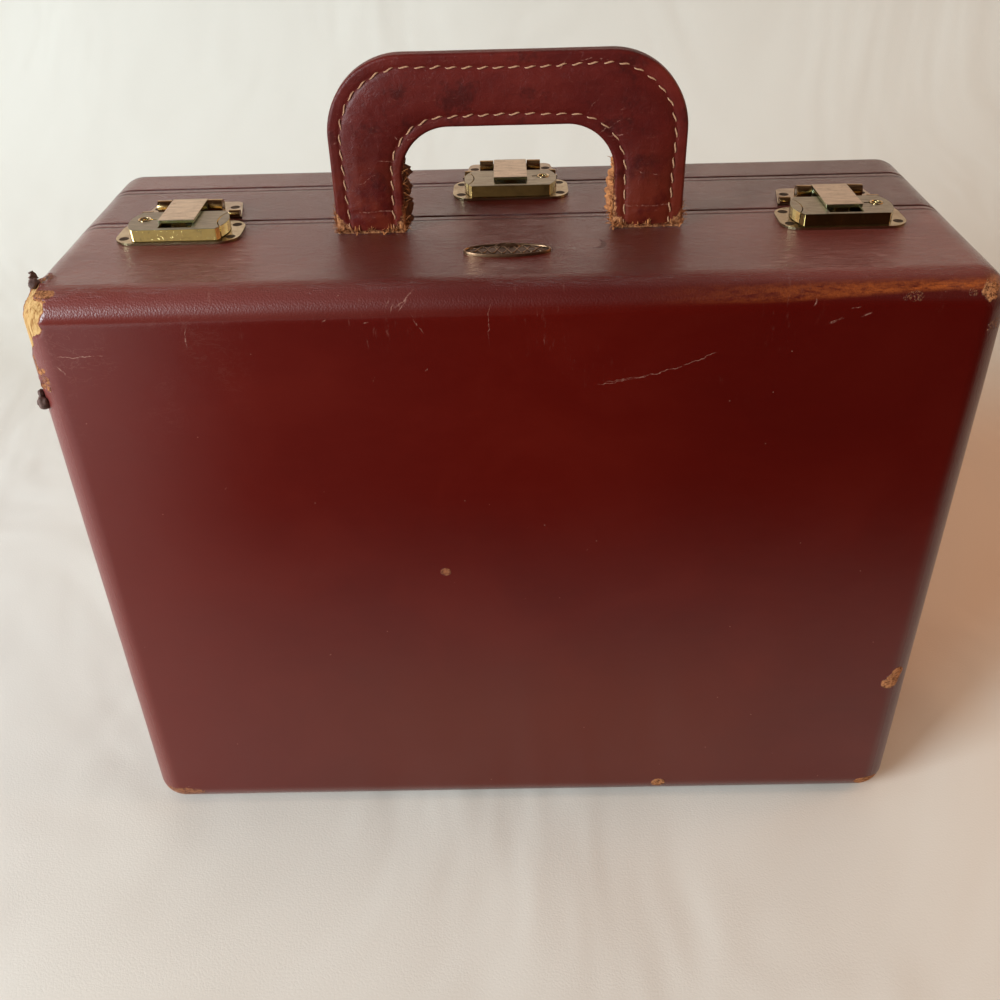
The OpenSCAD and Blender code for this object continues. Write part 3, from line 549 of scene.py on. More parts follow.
        edge = graph.attribute("edge")
        rubbed = graph.math("ADD", edge, graph.math("MULTIPLY_ADD", graph.noise(55.0, 6.0, 0.68), 1.5, -1.05))
        worn = graph.span(rubbed, 0.52, 0.80)
        raw = graph.span(rubbed, 0.78, 0.98)
        dye = graph.mix(graph.math("MULTIPLY", worn, 0.35), dye, (0.16, 0.034, 0.020))
        dye = graph.mix(graph.math("MULTIPLY", raw, 0.85), dye, self.tan)
        tan = graph.span(graph.math("MULTIPLY_ADD", graph.noise(420.0, 5.0, 0.65), 0.7, graph.attribute("tan")),
                         0.78, 0.92)
        if kind is Hide.SKIN:
            scratches, chips = self.marks_on_front(graph, front_y, top_z)
            dye = graph.mix(graph.math("MULTIPLY", scratches, 0.62), dye, (0.42, 0.22, 0.165))
            tan = graph.most(tan, chips)
            drop = graph.math("SUBTRACT", graph.z, graph.span(graph.x, 0.09, 0.17, (-0.6 * MM, 2.4 * MM)))
            band = graph.times(graph.span(drop, top_z - 9.0 * MM, top_z - 7.0 * MM),
                               graph.span(graph.z, top_z - 1.8 * MM, top_z - 4.6 * MM),
                               graph.span(graph.y, front_y + 12 * MM, front_y + 8 * MM),
                               graph.span(graph.x, 0.035, 0.190))
            band = graph.times(band, graph.span(graph.noise(1.0, 5.0, 0.75, graph.stretch((160.0, 500.0, 700.0))),
                                                0.28, 0.62),
                               graph.span(graph.noise(1300.0, 3.0, 0.7), 0.25, 0.62, (0.50, 1.0)))
            dye = graph.mix(band, dye, (0.34, 0.072, 0.010))
            # Dark nicks, plus painted shade in the crescent dent and in the folds by the seams.
            dark = self.nicks_and_painted_shade_on_top(graph, top_z)
            dye = graph.mix(graph.times(dark, 0.75), dye, (0.016, 0.0012, 0.0008))
            # Painted shade in the seam grooves.
            seam_shade = graph.most(*[graph.span(graph.math("ABSOLUTE", graph.math("SUBTRACT", graph.y, seam)),
                                            1.5 * MM, 0.7 * MM) for seam in self.seams])
            dye = graph.mix(graph.times(seam_shade, 0.65), dye, (0.014, 0.0030, 0.0026))
        if kind is Hide.HANDLE:
            stained = graph.span(graph.noise(75.0, 5.0, 0.7), 0.52, 0.66, (0.0, 0.55))
            dye = graph.mix(stained, dye, (0.030, 0.0030, 0.0026))
            low = graph.span(graph.z, self.handle_foot + 44 * MM, self.handle_foot + 6 * MM, (0.0, 0.65))
            low = graph.times(low, graph.span(graph.noise(90.0, 4.0, 0.65), 0.34, 0.56))
            dye = graph.mix(low, dye, (0.150, 0.0200, 0.0075))
            scuff = graph.noise(1.0, 5.0, 0.75, graph.stretch((330.0, 500.0, 900.0), 0.0))
            dye = graph.mix(graph.span(scuff, 0.60, 0.74, (0.0, 0.30)), dye, (0.30, 0.11, 0.075))
            waver = self.waver(graph)
            lines = [self.scratch(graph, waver, self.handle_foot, *line) for line in (
                (-46, -36, 34.5, 0.45, 0.0, 0.12), (-53, -45, 30.0, -0.10, 0.0, 0.10), (-47, -40, 40.5, -0.9, 0.0, 0.10),
                (36, 46, 38.5, 0.62, 0.0, 0.14), (39, 48, 37.0, 0.25, 0.0, 0.10), (30, 36, 45.0, 1.4, 0.0, 0.10),
                (-62, -52, 20.0, 0.5, 0.0, 0.08), (50, 62, 24.0, -0.2, 0.0, 0.08), (47, 68, 9.4, 0.0, 0.0, 0.34),
                (-65, -46, 9.4, 0.0, 0.0, 0.34), (-71, -66, 37.0, 0.1, 0.0, 0.22), (20, 23, 63.0, 1.2, 0.0, 0.2),
                (35, 40, 66.0, -0.15, 0.0, 0.5), (28, 34, 66.4, 0.0, 0.0, 0.2))]
            broken = graph.span(graph.noise(700, 4.0, 0.7), 0.42, 0.64)
            specks = graph.span(graph.cells(120.0), 0.034, 0.016)
            pale = graph.most(graph.times(graph.most(*lines), broken, 0.50), graph.times(specks, 0.55))
            dye = graph.mix(pale, dye, (0.50, 0.24, 0.18))
        fibre = graph.ramp(graph.noise(820.0, 5.0, 0.75), ((0.40, self.frayed), (0.56, self.tan)))
        dye = graph.mix(tan, dye, fibre)
        bare = graph.span(graph.math("MULTIPLY_ADD", graph.noise(600.0, 4.0, 0.6), 0.3, graph.attribute("torn")),
                          0.62, 0.70)
        grain = graph.noise(1.0, 4.0, 0.6, graph.stretch((900.0, 900.0, 90.0)))
        timber = graph.ramp(grain, ((0.34, (0.26, 0.105, 0.030)), (0.50, self.wood), (0.75, (0.70, 0.47, 0.225))))
        dye = graph.mix(bare, dye, timber)

        rough_spot = graph.most(tan, bare)
        gloss = graph.math("MULTIPLY_ADD", graph.noise(38.0, 4.0, 0.6), 0.12, self.roughness - 0.06)
        gloss = graph.math("MAXIMUM", gloss, graph.math("MULTIPLY", rough_spot, 0.8))
        pebbles = graph.math("SUBTRACT", 1.0, graph.cells(1450.0, graph.stretch((1.0, 1.0, 0.8))))
        pores = graph.noise(3800.0, 2.0)
        grained = graph.math("MULTIPLY_ADD", graph.span(edge, 0.10, 0.50), 0.90, 0.10)
        relief = graph.bump(graph.times(pebbles, grained), self.pebble)
        relief = graph.bump(pores, self.pebble * 0.06, relief)
        lines = graph.noise(1.0, 5.0, 0.66, graph.stretch((110.0, 560.0, 80.0), 4.0), 2.4)
        lines = graph.times(lines, flat_top, graph.span(graph.noise(24.0, 4.0, 0.6), 0.30, 0.62, (0.35, 1.0)))
        relief = graph.bump(lines, self.wrinkle * 6.0, relief)
        relief = graph.bump(graph.noise(70.0, 4.0, 0.55), self.wrinkle * 0.7, relief)
        if kind is Hide.HANDLE:
            relief = graph.bump(graph.noise(260.0, 5.0, 0.7, distort=1.2), self.wrinkle * 2.2, relief)
        if kind is Hide.SKIN:
            relief = graph.bump(graph.math("SUBTRACT", 1.0, dark), 0.00022, relief)
        relief = graph.bump(graph.times(rough_spot, graph.noise(1500.0, 5.0, 0.7)), 0.0006, relief)
        shell = graph.math("SUBTRACT", 1.0, graph.math("MULTIPLY", rough_spot, 0.95))
        if kind is Hide.SKIN:
            shell = graph.times(shell, graph.math("MULTIPLY_ADD", dark, -0.65, 1.0))
        blur = self.coat_roughness
        if kind is Hide.SKIN:
            blur = graph.math("MULTIPLY_ADD", graph.span(edge, 0.10, 0.50), 0.23, self.coat_roughness)
        graph.set(Coat_Roughness=self.coat_roughness)
        graph.set(Base_Color=dye, Roughness=gloss, Normal=relief, Coat_Normal=relief, IOR=1.5,
                  Coat_Weight=graph.times(shell, self.coat), Coat_Roughness=blur,
                  Specular_IOR_Level=self.specular)
        return graph.material


@dataclass(frozen=True)
class BrassFinish:
    """Colours and gloss of brass, with tarnish in its mottling and another tone above a height."""

    name: str
    bright: Colour = (0.63, 0.46, 0.19)
    blotches: float = 0.25
    dull: Colour = (0.44, 0.32, 0.14)
    tarnish: Colour = (0.15, 0.085, 0.030)
    upper_light: Colour = (0.62, 0.52, 0.38)
    upper_dark: Colour = (0.38, 0.31, 0.22)
    roughness: float = 0.20
    upper_roughness: float = 0.34
    scratch_depth: float = 0.00002
    draft: float = 0.0

    def make(self, upper_above: float | None = None, field_name: str = "") -> bpy.types.Material:
        """Builds the brass.

        Args:
            upper_above: Height above which the metal has its upper tone, or None.
            field_name: Vertex attribute that darkens the metal, or no name.

        Returns:
            The material.
        """
        graph = Graph(self.name)
        cloud = graph.noise(130.0, 6.0, 0.66, distort=0.8)
        colour = graph.ramp(cloud, ((0.34, self.bright), (0.58, self.dull), (0.76, self.tarnish)))
        rough = graph.math("MULTIPLY_ADD", cloud, 0.22, self.roughness - 0.10)
        if upper_above is not None:
            upper = graph.span(graph.z, upper_above - 0.30 * MM, upper_above - 0.12 * MM)
            worn = graph.noise(1.0, 5.0, 0.68, graph.stretch((120.0, 1100.0, 500.0), 14.0))
            tone = graph.ramp(worn, ((0.36, self.upper_dark), (0.62, self.upper_light)))
            colour = graph.mix(upper, colour, tone)
            rough = graph.math("MAXIMUM", rough, graph.math("MULTIPLY", upper, self.upper_roughness))
        blotch = graph.span(graph.noise(360.0, 5.0, 0.72, distort=1.5), 0.54, 0.68)
        colour = graph.mix(graph.math("MULTIPLY", blotch, self.blotches), colour, self.tarnish)
        pits = graph.span(graph.noise(1700.0, 3.0, 0.6), 0.64, 0.76)
        colour = graph.mix(graph.math("MULTIPLY", pits, 0.45), colour, self.tarnish)
        if field_name:
            shade = graph.attribute(field_name)
            colour = graph.mix(graph.math("MULTIPLY", shade, 0.85), colour, self.tarnish)
            rough = graph.math("MAXIMUM", rough, graph.math("MULTIPLY", shade, 0.42))
        scratch = graph.noise(1.0, 3.0, 0.6, graph.stretch((90.0, 2400.0, 900.0), 22.0))
        relief = graph.bump(scratch, self.scratch_depth)
        relief = graph.bump(pits, 0.00003, relief)
        if self.draft:
            relief = graph.bump(graph.math("MULTIPLY", graph.z, -1.0), self.draft, relief)
        graph.set(Base_Color=colour, Metallic=1.0, Roughness=rough, Normal=relief)
        return graph.material


@dataclass(frozen=True)
class PlainFinish:
    """A material with mottled colour and fibrous or grained relief."""

    name: str
    dark: Colour
    light: Colour
    scale: float
    stretch: tuple[float, float, float] = (1.0, 1.0, 1.0)
    roughness: float = 0.7
    depth: float = 0.00008
    metal: float = 0.0
    sheen: float = 0.0

    def make(self) -> bpy.types.Material:
        """Builds the material."""
        graph = Graph(self.name)
        coords = graph.stretch(self.stretch)
        pattern = graph.noise(self.scale, 5.0, 0.62, coords)
        broad = graph.noise(22.0, 3.0)
        colour = graph.ramp(pattern, ((0.30, self.dark), (0.68, self.light)))
        colour = graph.mix(graph.span(broad, 0.3, 0.7, (0.0, 0.25)), colour, self.dark)
        rough = graph.math("MULTIPLY_ADD", pattern, 0.2, self.roughness - 0.1)
        graph.set(Base_Color=colour, Roughness=rough, Metallic=self.metal, Sheen_Weight=self.sheen,
                  Normal=graph.bump(pattern, self.depth))
        return graph.material


@dataclass
class Finishes:
    """All materials of the case, made once."""

    front_y: float
    top_z: float
    seams: tuple[float, ...]
    made: dict[str, bpy.types.Material] = field(default_factory=dict)

    def build(self) -> None:
        """Makes every material and keeps it under the name of its slot or piece."""
        skin = LeatherFinish(seams=self.seams)
        grip = LeatherFinish(deep=(0.058, 0.0040, 0.0030), body=(0.084, 0.0058, 0.0040), bright=(0.135, 0.0135, 0.0085),
                             frayed=(0.100, 0.026, 0.008), roughness=0.46, specular=0.15, coat=0.18,
                             coat_roughness=0.32, pebble=0.00006, contrast=1.5)
        self.made["leather"] = skin.make(Hide.SKIN, self.front_y, self.top_z)
        self.made["handle_leather"] = grip.make(Hide.HANDLE, self.front_y, self.top_z + 1.0)
        self.made["lip_leather"] = grip.make(Hide.LIP, self.front_y, self.top_z + 1.0)
        self.made["brass"] = BrassFinish("hinge_brass").make()
        self.made["lock_plate"] = BrassFinish("lock_plate_brass", bright=(0.43, 0.38, 0.23), dull=(0.31, 0.25, 0.14),
                                              roughness=0.22).make()
        # Lit and shaded copies of the lock brass: the left lock case's bright front wall is a painted reflection of the
        # pale floor beside it, and its top is painted a little darker.
        for name, bright, dull, light, dark in (
                ("lock_case", (0.52, 0.39, 0.16), (0.36, 0.26, 0.105), (0.360, 0.335, 0.235), (0.190, 0.165, 0.112)),
                ("left_lock_case", (0.98, 0.82, 0.35), (0.84, 0.66, 0.28), (0.270, 0.246, 0.170), (0.138, 0.120, 0.080))):
            self.made[name] = BrassFinish(f"{name}_brass", bright=bright, dull=dull, blotches=0.35,
                                          upper_light=light, upper_dark=dark,
                                          roughness=0.14, draft=0.33).make(self.top_z + 6 * MM)
        self.made["lever"] = BrassFinish("lever_brass", bright=(0.60, 0.68, 0.44), dull=(0.44, 0.49, 0.31), blotches=0.42,
                                         roughness=0.24).make(self.top_z + 7.7 * MM)
        self.made["hasp_plate"] = BrassFinish("hasp_plate_brass", bright=(0.38, 0.32, 0.22), dull=(0.27, 0.22, 0.145),
                                              upper_light=(0.56, 0.40, 0.18), upper_dark=(0.20, 0.115, 0.050),
                                              upper_roughness=0.16).make(self.top_z + 1.6 * MM)
        self.made["bronze"] = BrassFinish("badge_bronze", bright=(0.34, 0.22, 0.13), dull=(0.21, 0.125, 0.073),
                                          tarnish=(0.040, 0.020, 0.013), roughness=0.30).make(None, "field")
        self.made["key_ring"] = BrassFinish("key_ring_brass", bright=(0.86, 0.74, 0.48), roughness=0.16).make()
        # Nail heads painted dark: painted shade standing in for the shade in their sunken holes.
        self.made["dark_brass"] = BrassFinish("nail_brass", bright=(0.075, 0.046, 0.024), dull=(0.046, 0.027, 0.014),
                                              tarnish=(0.014, 0.008, 0.005), roughness=0.62).make()
        self.made["steel"] = PlainFinish("plain_steel", (0.38, 0.37, 0.35), (0.60, 0.59, 0.57), 160.0,
                                         roughness=0.36, depth=0.00001, metal=1.0).make()
        self.made["felt"] = PlainFinish("felt", (0.30, 0.22, 0.15), (0.46, 0.36, 0.26), 900.0, sheen=0.3).make()
        self.made["plywood"] = PlainFinish("plywood", (0.50, 0.28, 0.10), (0.78, 0.54, 0.27), 1.0,
                                           (28.0, 420.0, 420.0), depth=0.00005).make()
        self.made["lining"] = PlainFinish("lining_cloth", (0.40, 0.30, 0.21), (0.60, 0.50, 0.38), 1.0,
                                          (1500.0, 1500.0, 420.0), roughness=0.8, sheen=0.35).make()
        self.made["thread"] = PlainFinish("waxed_thread", (0.27, 0.12, 0.060), (0.62, 0.35, 0.205), 1300.0,
                                          roughness=0.55).make()
        self.made["fibre"] = PlainFinish("torn_leather_fibre", (0.16, 0.040, 0.012), (0.66, 0.26, 0.080), 700.0,
                                         roughness=0.85, depth=0.0002).make()
        # Painted shade: a darkened copy of the torn fibre, for the peeled layer on the left leg's inner edge, which
        # faces away from the light.
        self.made["dark_fibre"] = PlainFinish("shaded_leather_fibre", (0.035, 0.014, 0.009), (0.20, 0.070, 0.028), 620.0,
                                              roughness=0.85, depth=0.0002).make()
        self.made["scrap"] = PlainFinish("curled_leather", (0.055, 0.026, 0.021), (0.150, 0.068, 0.052), 500.0,
                                         roughness=0.6, depth=0.0002).make()

    def dress(self, piece: bpy.types.Object, name: str) -> None:
        """Gives a piece one of the materials."""
        piece.data.materials.clear()
        piece.data.materials.append(self.made[name])


# Case sections

@dataclass
class Outline:
    """Rounded rectangle of the case, sampled more finely near its four corners."""

    width: float
    height: float
    corner_r: float
    fine: float = 1.0 * MM
    coarse: float = 4.5 * MM
    fine_reach: float = 34 * MM

    def columns(self) -> tuple[Array, Array, Array]:
        """Places of the outline's columns.

        Returns:
            Two arrays that carry a column from the middle to its side's corner centres, from -1 to 1,
            and the angle of the column's outward direction.
        """
        signs = ((1, 1), (-1, 1), (-1, -1), (1, -1))
        corner = np.linspace(0.0, math.pi / 2, int(self.corner_r * math.pi / 2 / self.fine) + 1)
        place_x = []
        place_z = []
        angle = []
        for quarter in range(4):
            here = signs[quarter]
            there = signs[(quarter + 1) % 4]
            place_x.append(np.full(len(corner), float(here[0])))
            place_z.append(np.full(len(corner), float(here[1])))
            angle.append(corner + quarter * math.pi / 2)
            side = (self.width if quarter % 2 == 0 else self.height) - 2 * self.corner_r
            near = np.arange(self.fine, self.fine_reach, self.fine)
            middle = side - 2 * self.fine_reach
            far = self.fine_reach + np.linspace(0, middle, int(middle / self.coarse) + 2)
            stops = np.concatenate([near, far, side - near[::-1]]) / side
            place_x.append(here[0] + (there[0] - here[0]) * stops)
            place_z.append(here[1] + (there[1] - here[1]) * stops)
            angle.append(np.full(len(stops), (quarter + 1) * math.pi / 2))
        return np.concatenate(place_x), np.concatenate(place_z), np.concatenate(angle)


@dataclass
class SkinRow:
    """One ring of a skin: drawn in by inset, between its two end planes, turned by lean.

    share is 0 at the first end plane and 1 at the second, shift is added in metres, lean is 0 where
    the surface faces the panel and 90 degrees where it faces sideways, and side is -1 inside.
    """

    inset: float
    share: float
    shift: float
    lean: float
    side: float = 1.0


@dataclass
class CaseSkins:
    """The three leather skins: rings of the case's outline carried from the panels to the seams."""

    finishes: Finishes
    leather_t: float = 1.6 * MM
    corner_r: float = 14 * MM
    front_edge_r: float = 13 * MM
    back_edge_r: float = 12 * MM
    turn_r: float = 1.0 * MM
    rebate_half: float = 3.4 * MM
    rebate_top: float = 5.3 * MM
    sway: float = 0.30 * MM
    tear_depth: float = 0.9 * MM

    def box(self, node: str) -> tuple[Array, Array]:
        """Lowest and highest corner of a CAD node as arrays."""
        low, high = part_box(node)
        return np.array(low), np.array(high)

    def panel_rows(self, height: float, edge_r: float) -> list[SkinRow]:
        """Rings of a panel, its rounded edge and the start of the wall behind it.

        Args:
            height: Height of the case, which gives the panel's middle line.
            edge_r: Radius of the rounded edge.

        Returns:
            The rings, from the middle of the panel outwards.
        """
        margin = 12 * MM
        rows = [SkinRow(d, 0.0, 0.0, 0.0) for d in np.linspace(height / 2, edge_r + margin, 27)[:-1]]
        rows += [SkinRow(d, 0.0, 0.0, 0.0) for d in np.linspace(edge_r + margin, edge_r, 12)[:-1]]
        for turn in np.linspace(0.0, math.pi / 2, 22):
            rows.append(SkinRow(edge_r * (1 - math.sin(turn)), 0.0, edge_r * (1 - math.cos(turn)), turn))
        return rows

    def wall_rows(self, start: float, shares: Array) -> list[SkinRow]:
        """Rings of a wall from start metres behind the first end to the turned edge of the second."""
        return [SkinRow(0.0, g, start * (1 - g) - self.turn_r * g, math.pi / 2) for g in shares]

    def turned_rows(self) -> list[SkinRow]:
        """Rings of the leather's turned edge at the second end, round to its inner face."""
        rows = []
        for turn in np.linspace(0.3, math.pi / 2, 4):
            rows.append(SkinRow(self.turn_r * (1 - math.cos(turn)), 1.0, -self.turn_r * (1 - math.sin(turn)),
                                math.pi / 2))
        rows.append(SkinRow(self.leather_t, 1.0, 0.0, math.pi / 2, 0.0))
        return rows

    def inner_rows(self, height: float, edge_r: float) -> list[SkinRow]:
        """Coarse rings of the skin's inner face, from the second end back to the panel's middle."""
        bend_r = edge_r - self.leather_t
        rows = [SkinRow(self.leather_t, 1.0, -4 * MM, math.pi / 2, 0.0)]
        for turn in np.linspace(math.pi / 2, 0.0, 7):
            rows.append(SkinRow(self.leather_t + bend_r * (1 - math.sin(turn)), 0.0,
                                self.leather_t + bend_r * (1 - math.cos(turn)), turn, 0.0))
        rows.append(SkinRow(height / 2, 0.0, self.leather_t, 0.0, 0.0))
        return rows

    def tear(self, points: Array, left_x: float, front_y: float, top_z: float) -> tuple[Array, Array]:
        """Where the top left front corner is torn to the wood, and where its leather is only scuffed.

        The tear follows the upright edge: it is widest just under the top, narrows to a strip 40 mm
        down and has a ragged border. Distances are taken round the edge and down from the top.

        Args:
            points: Positions on the skin.
            left_x: Left side of the case.
            front_y: Front of the case.
            top_z: Top of the case.

        Returns:
            The tear from 0 to 1, and the scuffing from 0 to 1.
        """
        down = top_z - points[..., 2]
        round_edge = (points[..., 0] - left_x) - (points[..., 1] - front_y)
        ragged = lattice_noise(points, 4.5 * MM, 3) * 1.5 * MM + lattice_noise(points, 1.7 * MM, 7) * 0.8 * MM
        near = (points[..., 0] < left_x + 26 * MM) & (points[..., 1] < front_y + 30 * MM)
        right = (10.2 - 7.6 * smooth(14 * MM, 17.5 * MM, down) - 7.5 * smooth(20 * MM, 27 * MM, down)) * MM
        gap = np.maximum(round_edge - right, -12 * MM - round_edge) + ragged
        cut = (0.7 + 2.9 * smooth(-5 * MM, 4 * MM, round_edge)) * MM
        gap = np.maximum(gap, (cut - down) * 1.3 + ragged * 0.35)
        gap = np.maximum(gap, down - 27 * MM)
        torn = np.where(near, smooth(0.8 * MM, -0.8 * MM, gap), 0.0)
        rim = smooth(1.8 * MM, 0.2 * MM, gap) * smooth(0.2 * MM, 1.2 * MM, down)
        strip = np.exp(-((round_edge + 1.2 * MM - (down - 26 * MM) * 0.1) / (1.1 * MM)) ** 2)
        strip *= smooth(24 * MM, 26 * MM, down) * smooth(34 * MM, 31 * MM, down)
        rough = smooth(7.0 * MM, 4.0 * MM, np.abs(round_edge - 2.6 * MM) + ragged)
        rough *= smooth(28 * MM, 31 * MM, down) * smooth(43 * MM, 39 * MM, down)
        over_top = np.exp(-((down - 1.5 * MM) / (1.3 * MM)) ** 2) * smooth(23 * MM, 13 * MM, points[..., 0] - left_x)
        over_top *= smooth(12 * MM, 8 * MM, points[..., 1] - front_y)
        hole = np.hypot((points[..., 1] - front_y - 20 * MM) / 4.6, (points[..., 0] - left_x - 8.5 * MM) / 4.0) / MM
        flayed = smooth(1.35, 0.9, hole + ragged * 250)
        scuffed = np.maximum.reduce([rim * 0.72, strip, rough * 0.53, over_top * 0.85, flayed * 0.50])
        scuffed = np.where(near, scuffed, 0.0)
        return torn, scuffed

    def rumple(self, points: Array, left_x: float, front_y: float, top_z: float) -> Array:
        """How far loose leather stands up behind the tear: noise inside two soft spots.

        Args:
            points: Positions on the skin.
            left_x: Left side of the case.
            front_y: Front of the case.
            top_z: Top of the case.

        Returns:
            The rise in metres.
        """
        down = top_z - points[..., 2]
        above = np.hypot((points[..., 1] - front_y - 19 * MM) / 8.5, (points[..., 0] - left_x - 8 * MM) / 6.5) / MM
        below = np.hypot((down - 36 * MM) / 6.5, (points[..., 0] - left_x - 5 * MM) / 5.0) / MM
        below = below + 9.0 * smooth(4 * MM, 12 * MM, points[..., 1] - front_y)
        spot = np.maximum(smooth(1.0, 0.5, above) * smooth(8 * MM, 4 * MM, down), 0.8 * smooth(1.0, 0.5, below))
        ridges = 1 - 2.2 * np.abs(lattice_noise(points, 3.2 * MM, 61)) + 0.5 * lattice_noise(points, 1.5 * MM, 67)
        return spot * (0.35 + 0.75 * ridges) * MM

    def skin(self, name: str, node: str, body: str, rows: list[SkinRow], low_end: Array | float,
             high_end: Array | float, outline: Outline, wrap: bool, mirror: bool) -> bpy.types.Object:
        """Builds one skin from its rings.

        Args:
            name: Name of the piece.
            node: CAD node that it stands for.
            body: Body that it rides on.
            rows: Rings of the skin.
            low_end: Depth of each column's first end plane.
            high_end: Depth of each column's second end plane.
            outline: Outline of the case.
            wrap: Whether the last ring joins the first.
            mirror: Whether depth runs towards the front, as on the back cover.

        Returns:
            The skin.
        """
        place_x, place_z, angle = outline.columns()
        inset = np.array([row.inset for row in rows])[:, None]
        share = np.array([row.share for row in rows])[:, None]
        shift = np.array([row.shift for row in rows])[:, None]
        lean = np.array([row.lean for row in rows])[:, None]
        side = np.array([row.side for row in rows])[:, None]
        radius = np.maximum(self.corner_r - inset, 0.0)
        half_x = outline.width / 2 - inset - radius
        half_z = outline.height / 2 - inset - radius
        verts = np.empty((len(rows), len(angle), 3))
        verts[..., 0] = half_x * place_x + radius * np.cos(angle)
        verts[..., 2] = outline.height / 2 + half_z * place_z + radius * np.sin(angle)
        depth = (1 - share) * low_end + share * high_end + (shift if not mirror else -shift)
        verts[..., 1] = depth
        inward = -1.0 if not mirror else 1.0
        normal = np.empty_like(verts)
        normal[..., 0] = np.cos(angle) * np.sin(lean)
        normal[..., 1] = inward * np.cos(lean)
        normal[..., 2] = np.sin(angle) * np.sin(lean)
        wave = lattice_noise(verts, 58 * MM, 11) * 0.6 + lattice_noise(verts, 17 * MM, 23) * 0.3
        wave += lattice_noise(verts, 6 * MM, 31) * 0.1
        torn, scuffed = self.tear(verts, -outline.width / 2, CAD_BOUNDS[0][1], outline.height)
        if node != "main_leather":
            torn = torn * 0.0
            scuffed = scuffed * 0.0
        rumple = 0.0
        if node == "main_leather":
            rumple = self.rumple(verts, -outline.width / 2, CAD_BOUNDS[0][1], outline.height)
        sink = self.sway * (0.5 + 0.5 * wave) + torn * self.tear_depth - rumple
        verts -= normal * (sink * (side > 0))[..., None]
        faces = grid_faces(len(rows), len(angle), wrap, True, flip=mirror)
        piece = make_object(name, verts, faces, 50.0)
        edge = np.exp(-((lean - math.pi / 4) / 0.52) ** 2) * np.ones_like(verts[..., 0])
        rim = np.exp(-np.abs(verts[..., 1] - high_end) / (1.0 * MM)) * (share > 0.5)
        right_top = smooth(0.118, 0.182, verts[..., 0]) * smooth(outline.height - 16 * MM, outline.height - 6 * MM,
                                                               verts[..., 2])
        # Edge mask for rubbed wear on the roundings; its rim term adds a painted highlight along each seam.
        edge = edge * (0.62 + 0.40 * right_top) + 0.30 * rim
        add_attribute(piece, "edge", np.where(side > 0, edge, 0.0))
        add_attribute(piece, "torn", torn)
        corner = np.maximum(np.abs(verts[..., 0]) / (outline.width / 2) - 0.955, 0.0) / 0.045
        high = smooth(outline.height - 22 * MM, outline.height - 5 * MM, verts[..., 2])
        front = smooth(26 * MM, 2 * MM, np.abs(verts[..., 1] - CAD_BOUNDS[0][1]))
        right = (verts[..., 0] > 0) * smooth(0.30, 0.95, corner) * high * front
        add_attribute(piece, "tan", np.maximum(scuffed, right * 0.55))
        merge_doubles(piece)
        piece.data.polygons.foreach_set("use_smooth", np.ones(len(piece.data.polygons), dtype=bool))
        self.finishes.dress(piece, "leather")
        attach(piece, body)
        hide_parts(node)
        LOG.info("%s: %d faces", name, len(piece.data.polygons))
        return piece

    def ends(self, seam: float, plain: float, outline: Outline, direction: float) -> Array:
        """End plane of each column at a seam, set back along the bottom for the hinge rebate.

        Args:
            seam: Depth of the seam's middle.
            plain: Depth of the skin's end elsewhere.
            outline: Outline of the case.
            direction: -1 for a skin in front of the seam, 1 for one behind it.

        Returns:
            One depth per column.
        """
        _, place_z, angle = outline.columns()
        foot = outline.height / 2 + (outline.height / 2 - self.corner_r) * place_z + self.corner_r * np.sin(angle)
        return np.where(foot < self.rebate_top, seam + direction * self.rebate_half, plain)

    def build(self) -> None:
        """Builds the skins of the front section, the middle section and the back cover."""
        main_low, main_high = self.box("main_leather")
        mid_low, mid_high = self.box("middle_leather")
        back_low, back_high = self.box("back_leather")
        outline = Outline(main_high[0] - main_low[0], main_high[2], self.corner_r)
        front_seam = (main_high[1] + mid_low[1]) / 2
        back_seam = (mid_high[1] + back_low[1]) / 2
        behind = np.concatenate([np.linspace(0, 0.22, 15)[1:], np.linspace(0.22, 1.0, 14)[1:]])
        rows = self.panel_rows(outline.height, self.front_edge_r)
        rows += self.wall_rows(self.front_edge_r, behind)
        rows += self.turned_rows() + self.inner_rows(outline.height, self.front_edge_r)
        self.skin("main_leather_skin", "main_leather", "main_case", rows, main_low[1],
                  self.ends(front_seam, main_high[1], outline, -1.0), outline, False, False)
        rows = self.panel_rows(outline.height, self.back_edge_r)
        rows += self.wall_rows(self.back_edge_r, np.linspace(0, 1.0, 8)[1:])
        rows += self.turned_rows() + self.inner_rows(outline.height, self.back_edge_r)
        self.skin("back_leather_skin", "back_leather", "back_cover", rows, back_high[1],
                  self.ends(back_seam, back_low[1], outline, 1.0), outline, False, True)
        turned = self.turned_rows()[:-1]
        rows = [SkinRow(row.inset, 0.0, -row.shift, row.lean) for row in reversed(turned)]
        rows += [SkinRow(0.0, g, self.turn_r * (1 - 2 * g), math.pi / 2) for g in np.linspace(0, 1, 15)]
        rows += turned
        rows += [SkinRow(self.leather_t, 1.0, 0.0, math.pi / 2, 0.0),
                 SkinRow(self.leather_t, 0.5, 0.0, math.pi / 2, 0.0),
                 SkinRow(self.leather_t, 0.0, 0.0, math.pi / 2, 0.0)]
        self.skin("middle_leather_skin", "middle_leather", "middle_section", rows,
                  self.ends(front_seam, mid_low[1], outline, 1.0),
                  self.ends(back_seam, mid_high[1], outline, -1.0), outline, True, False)


# Torn leather at the corner

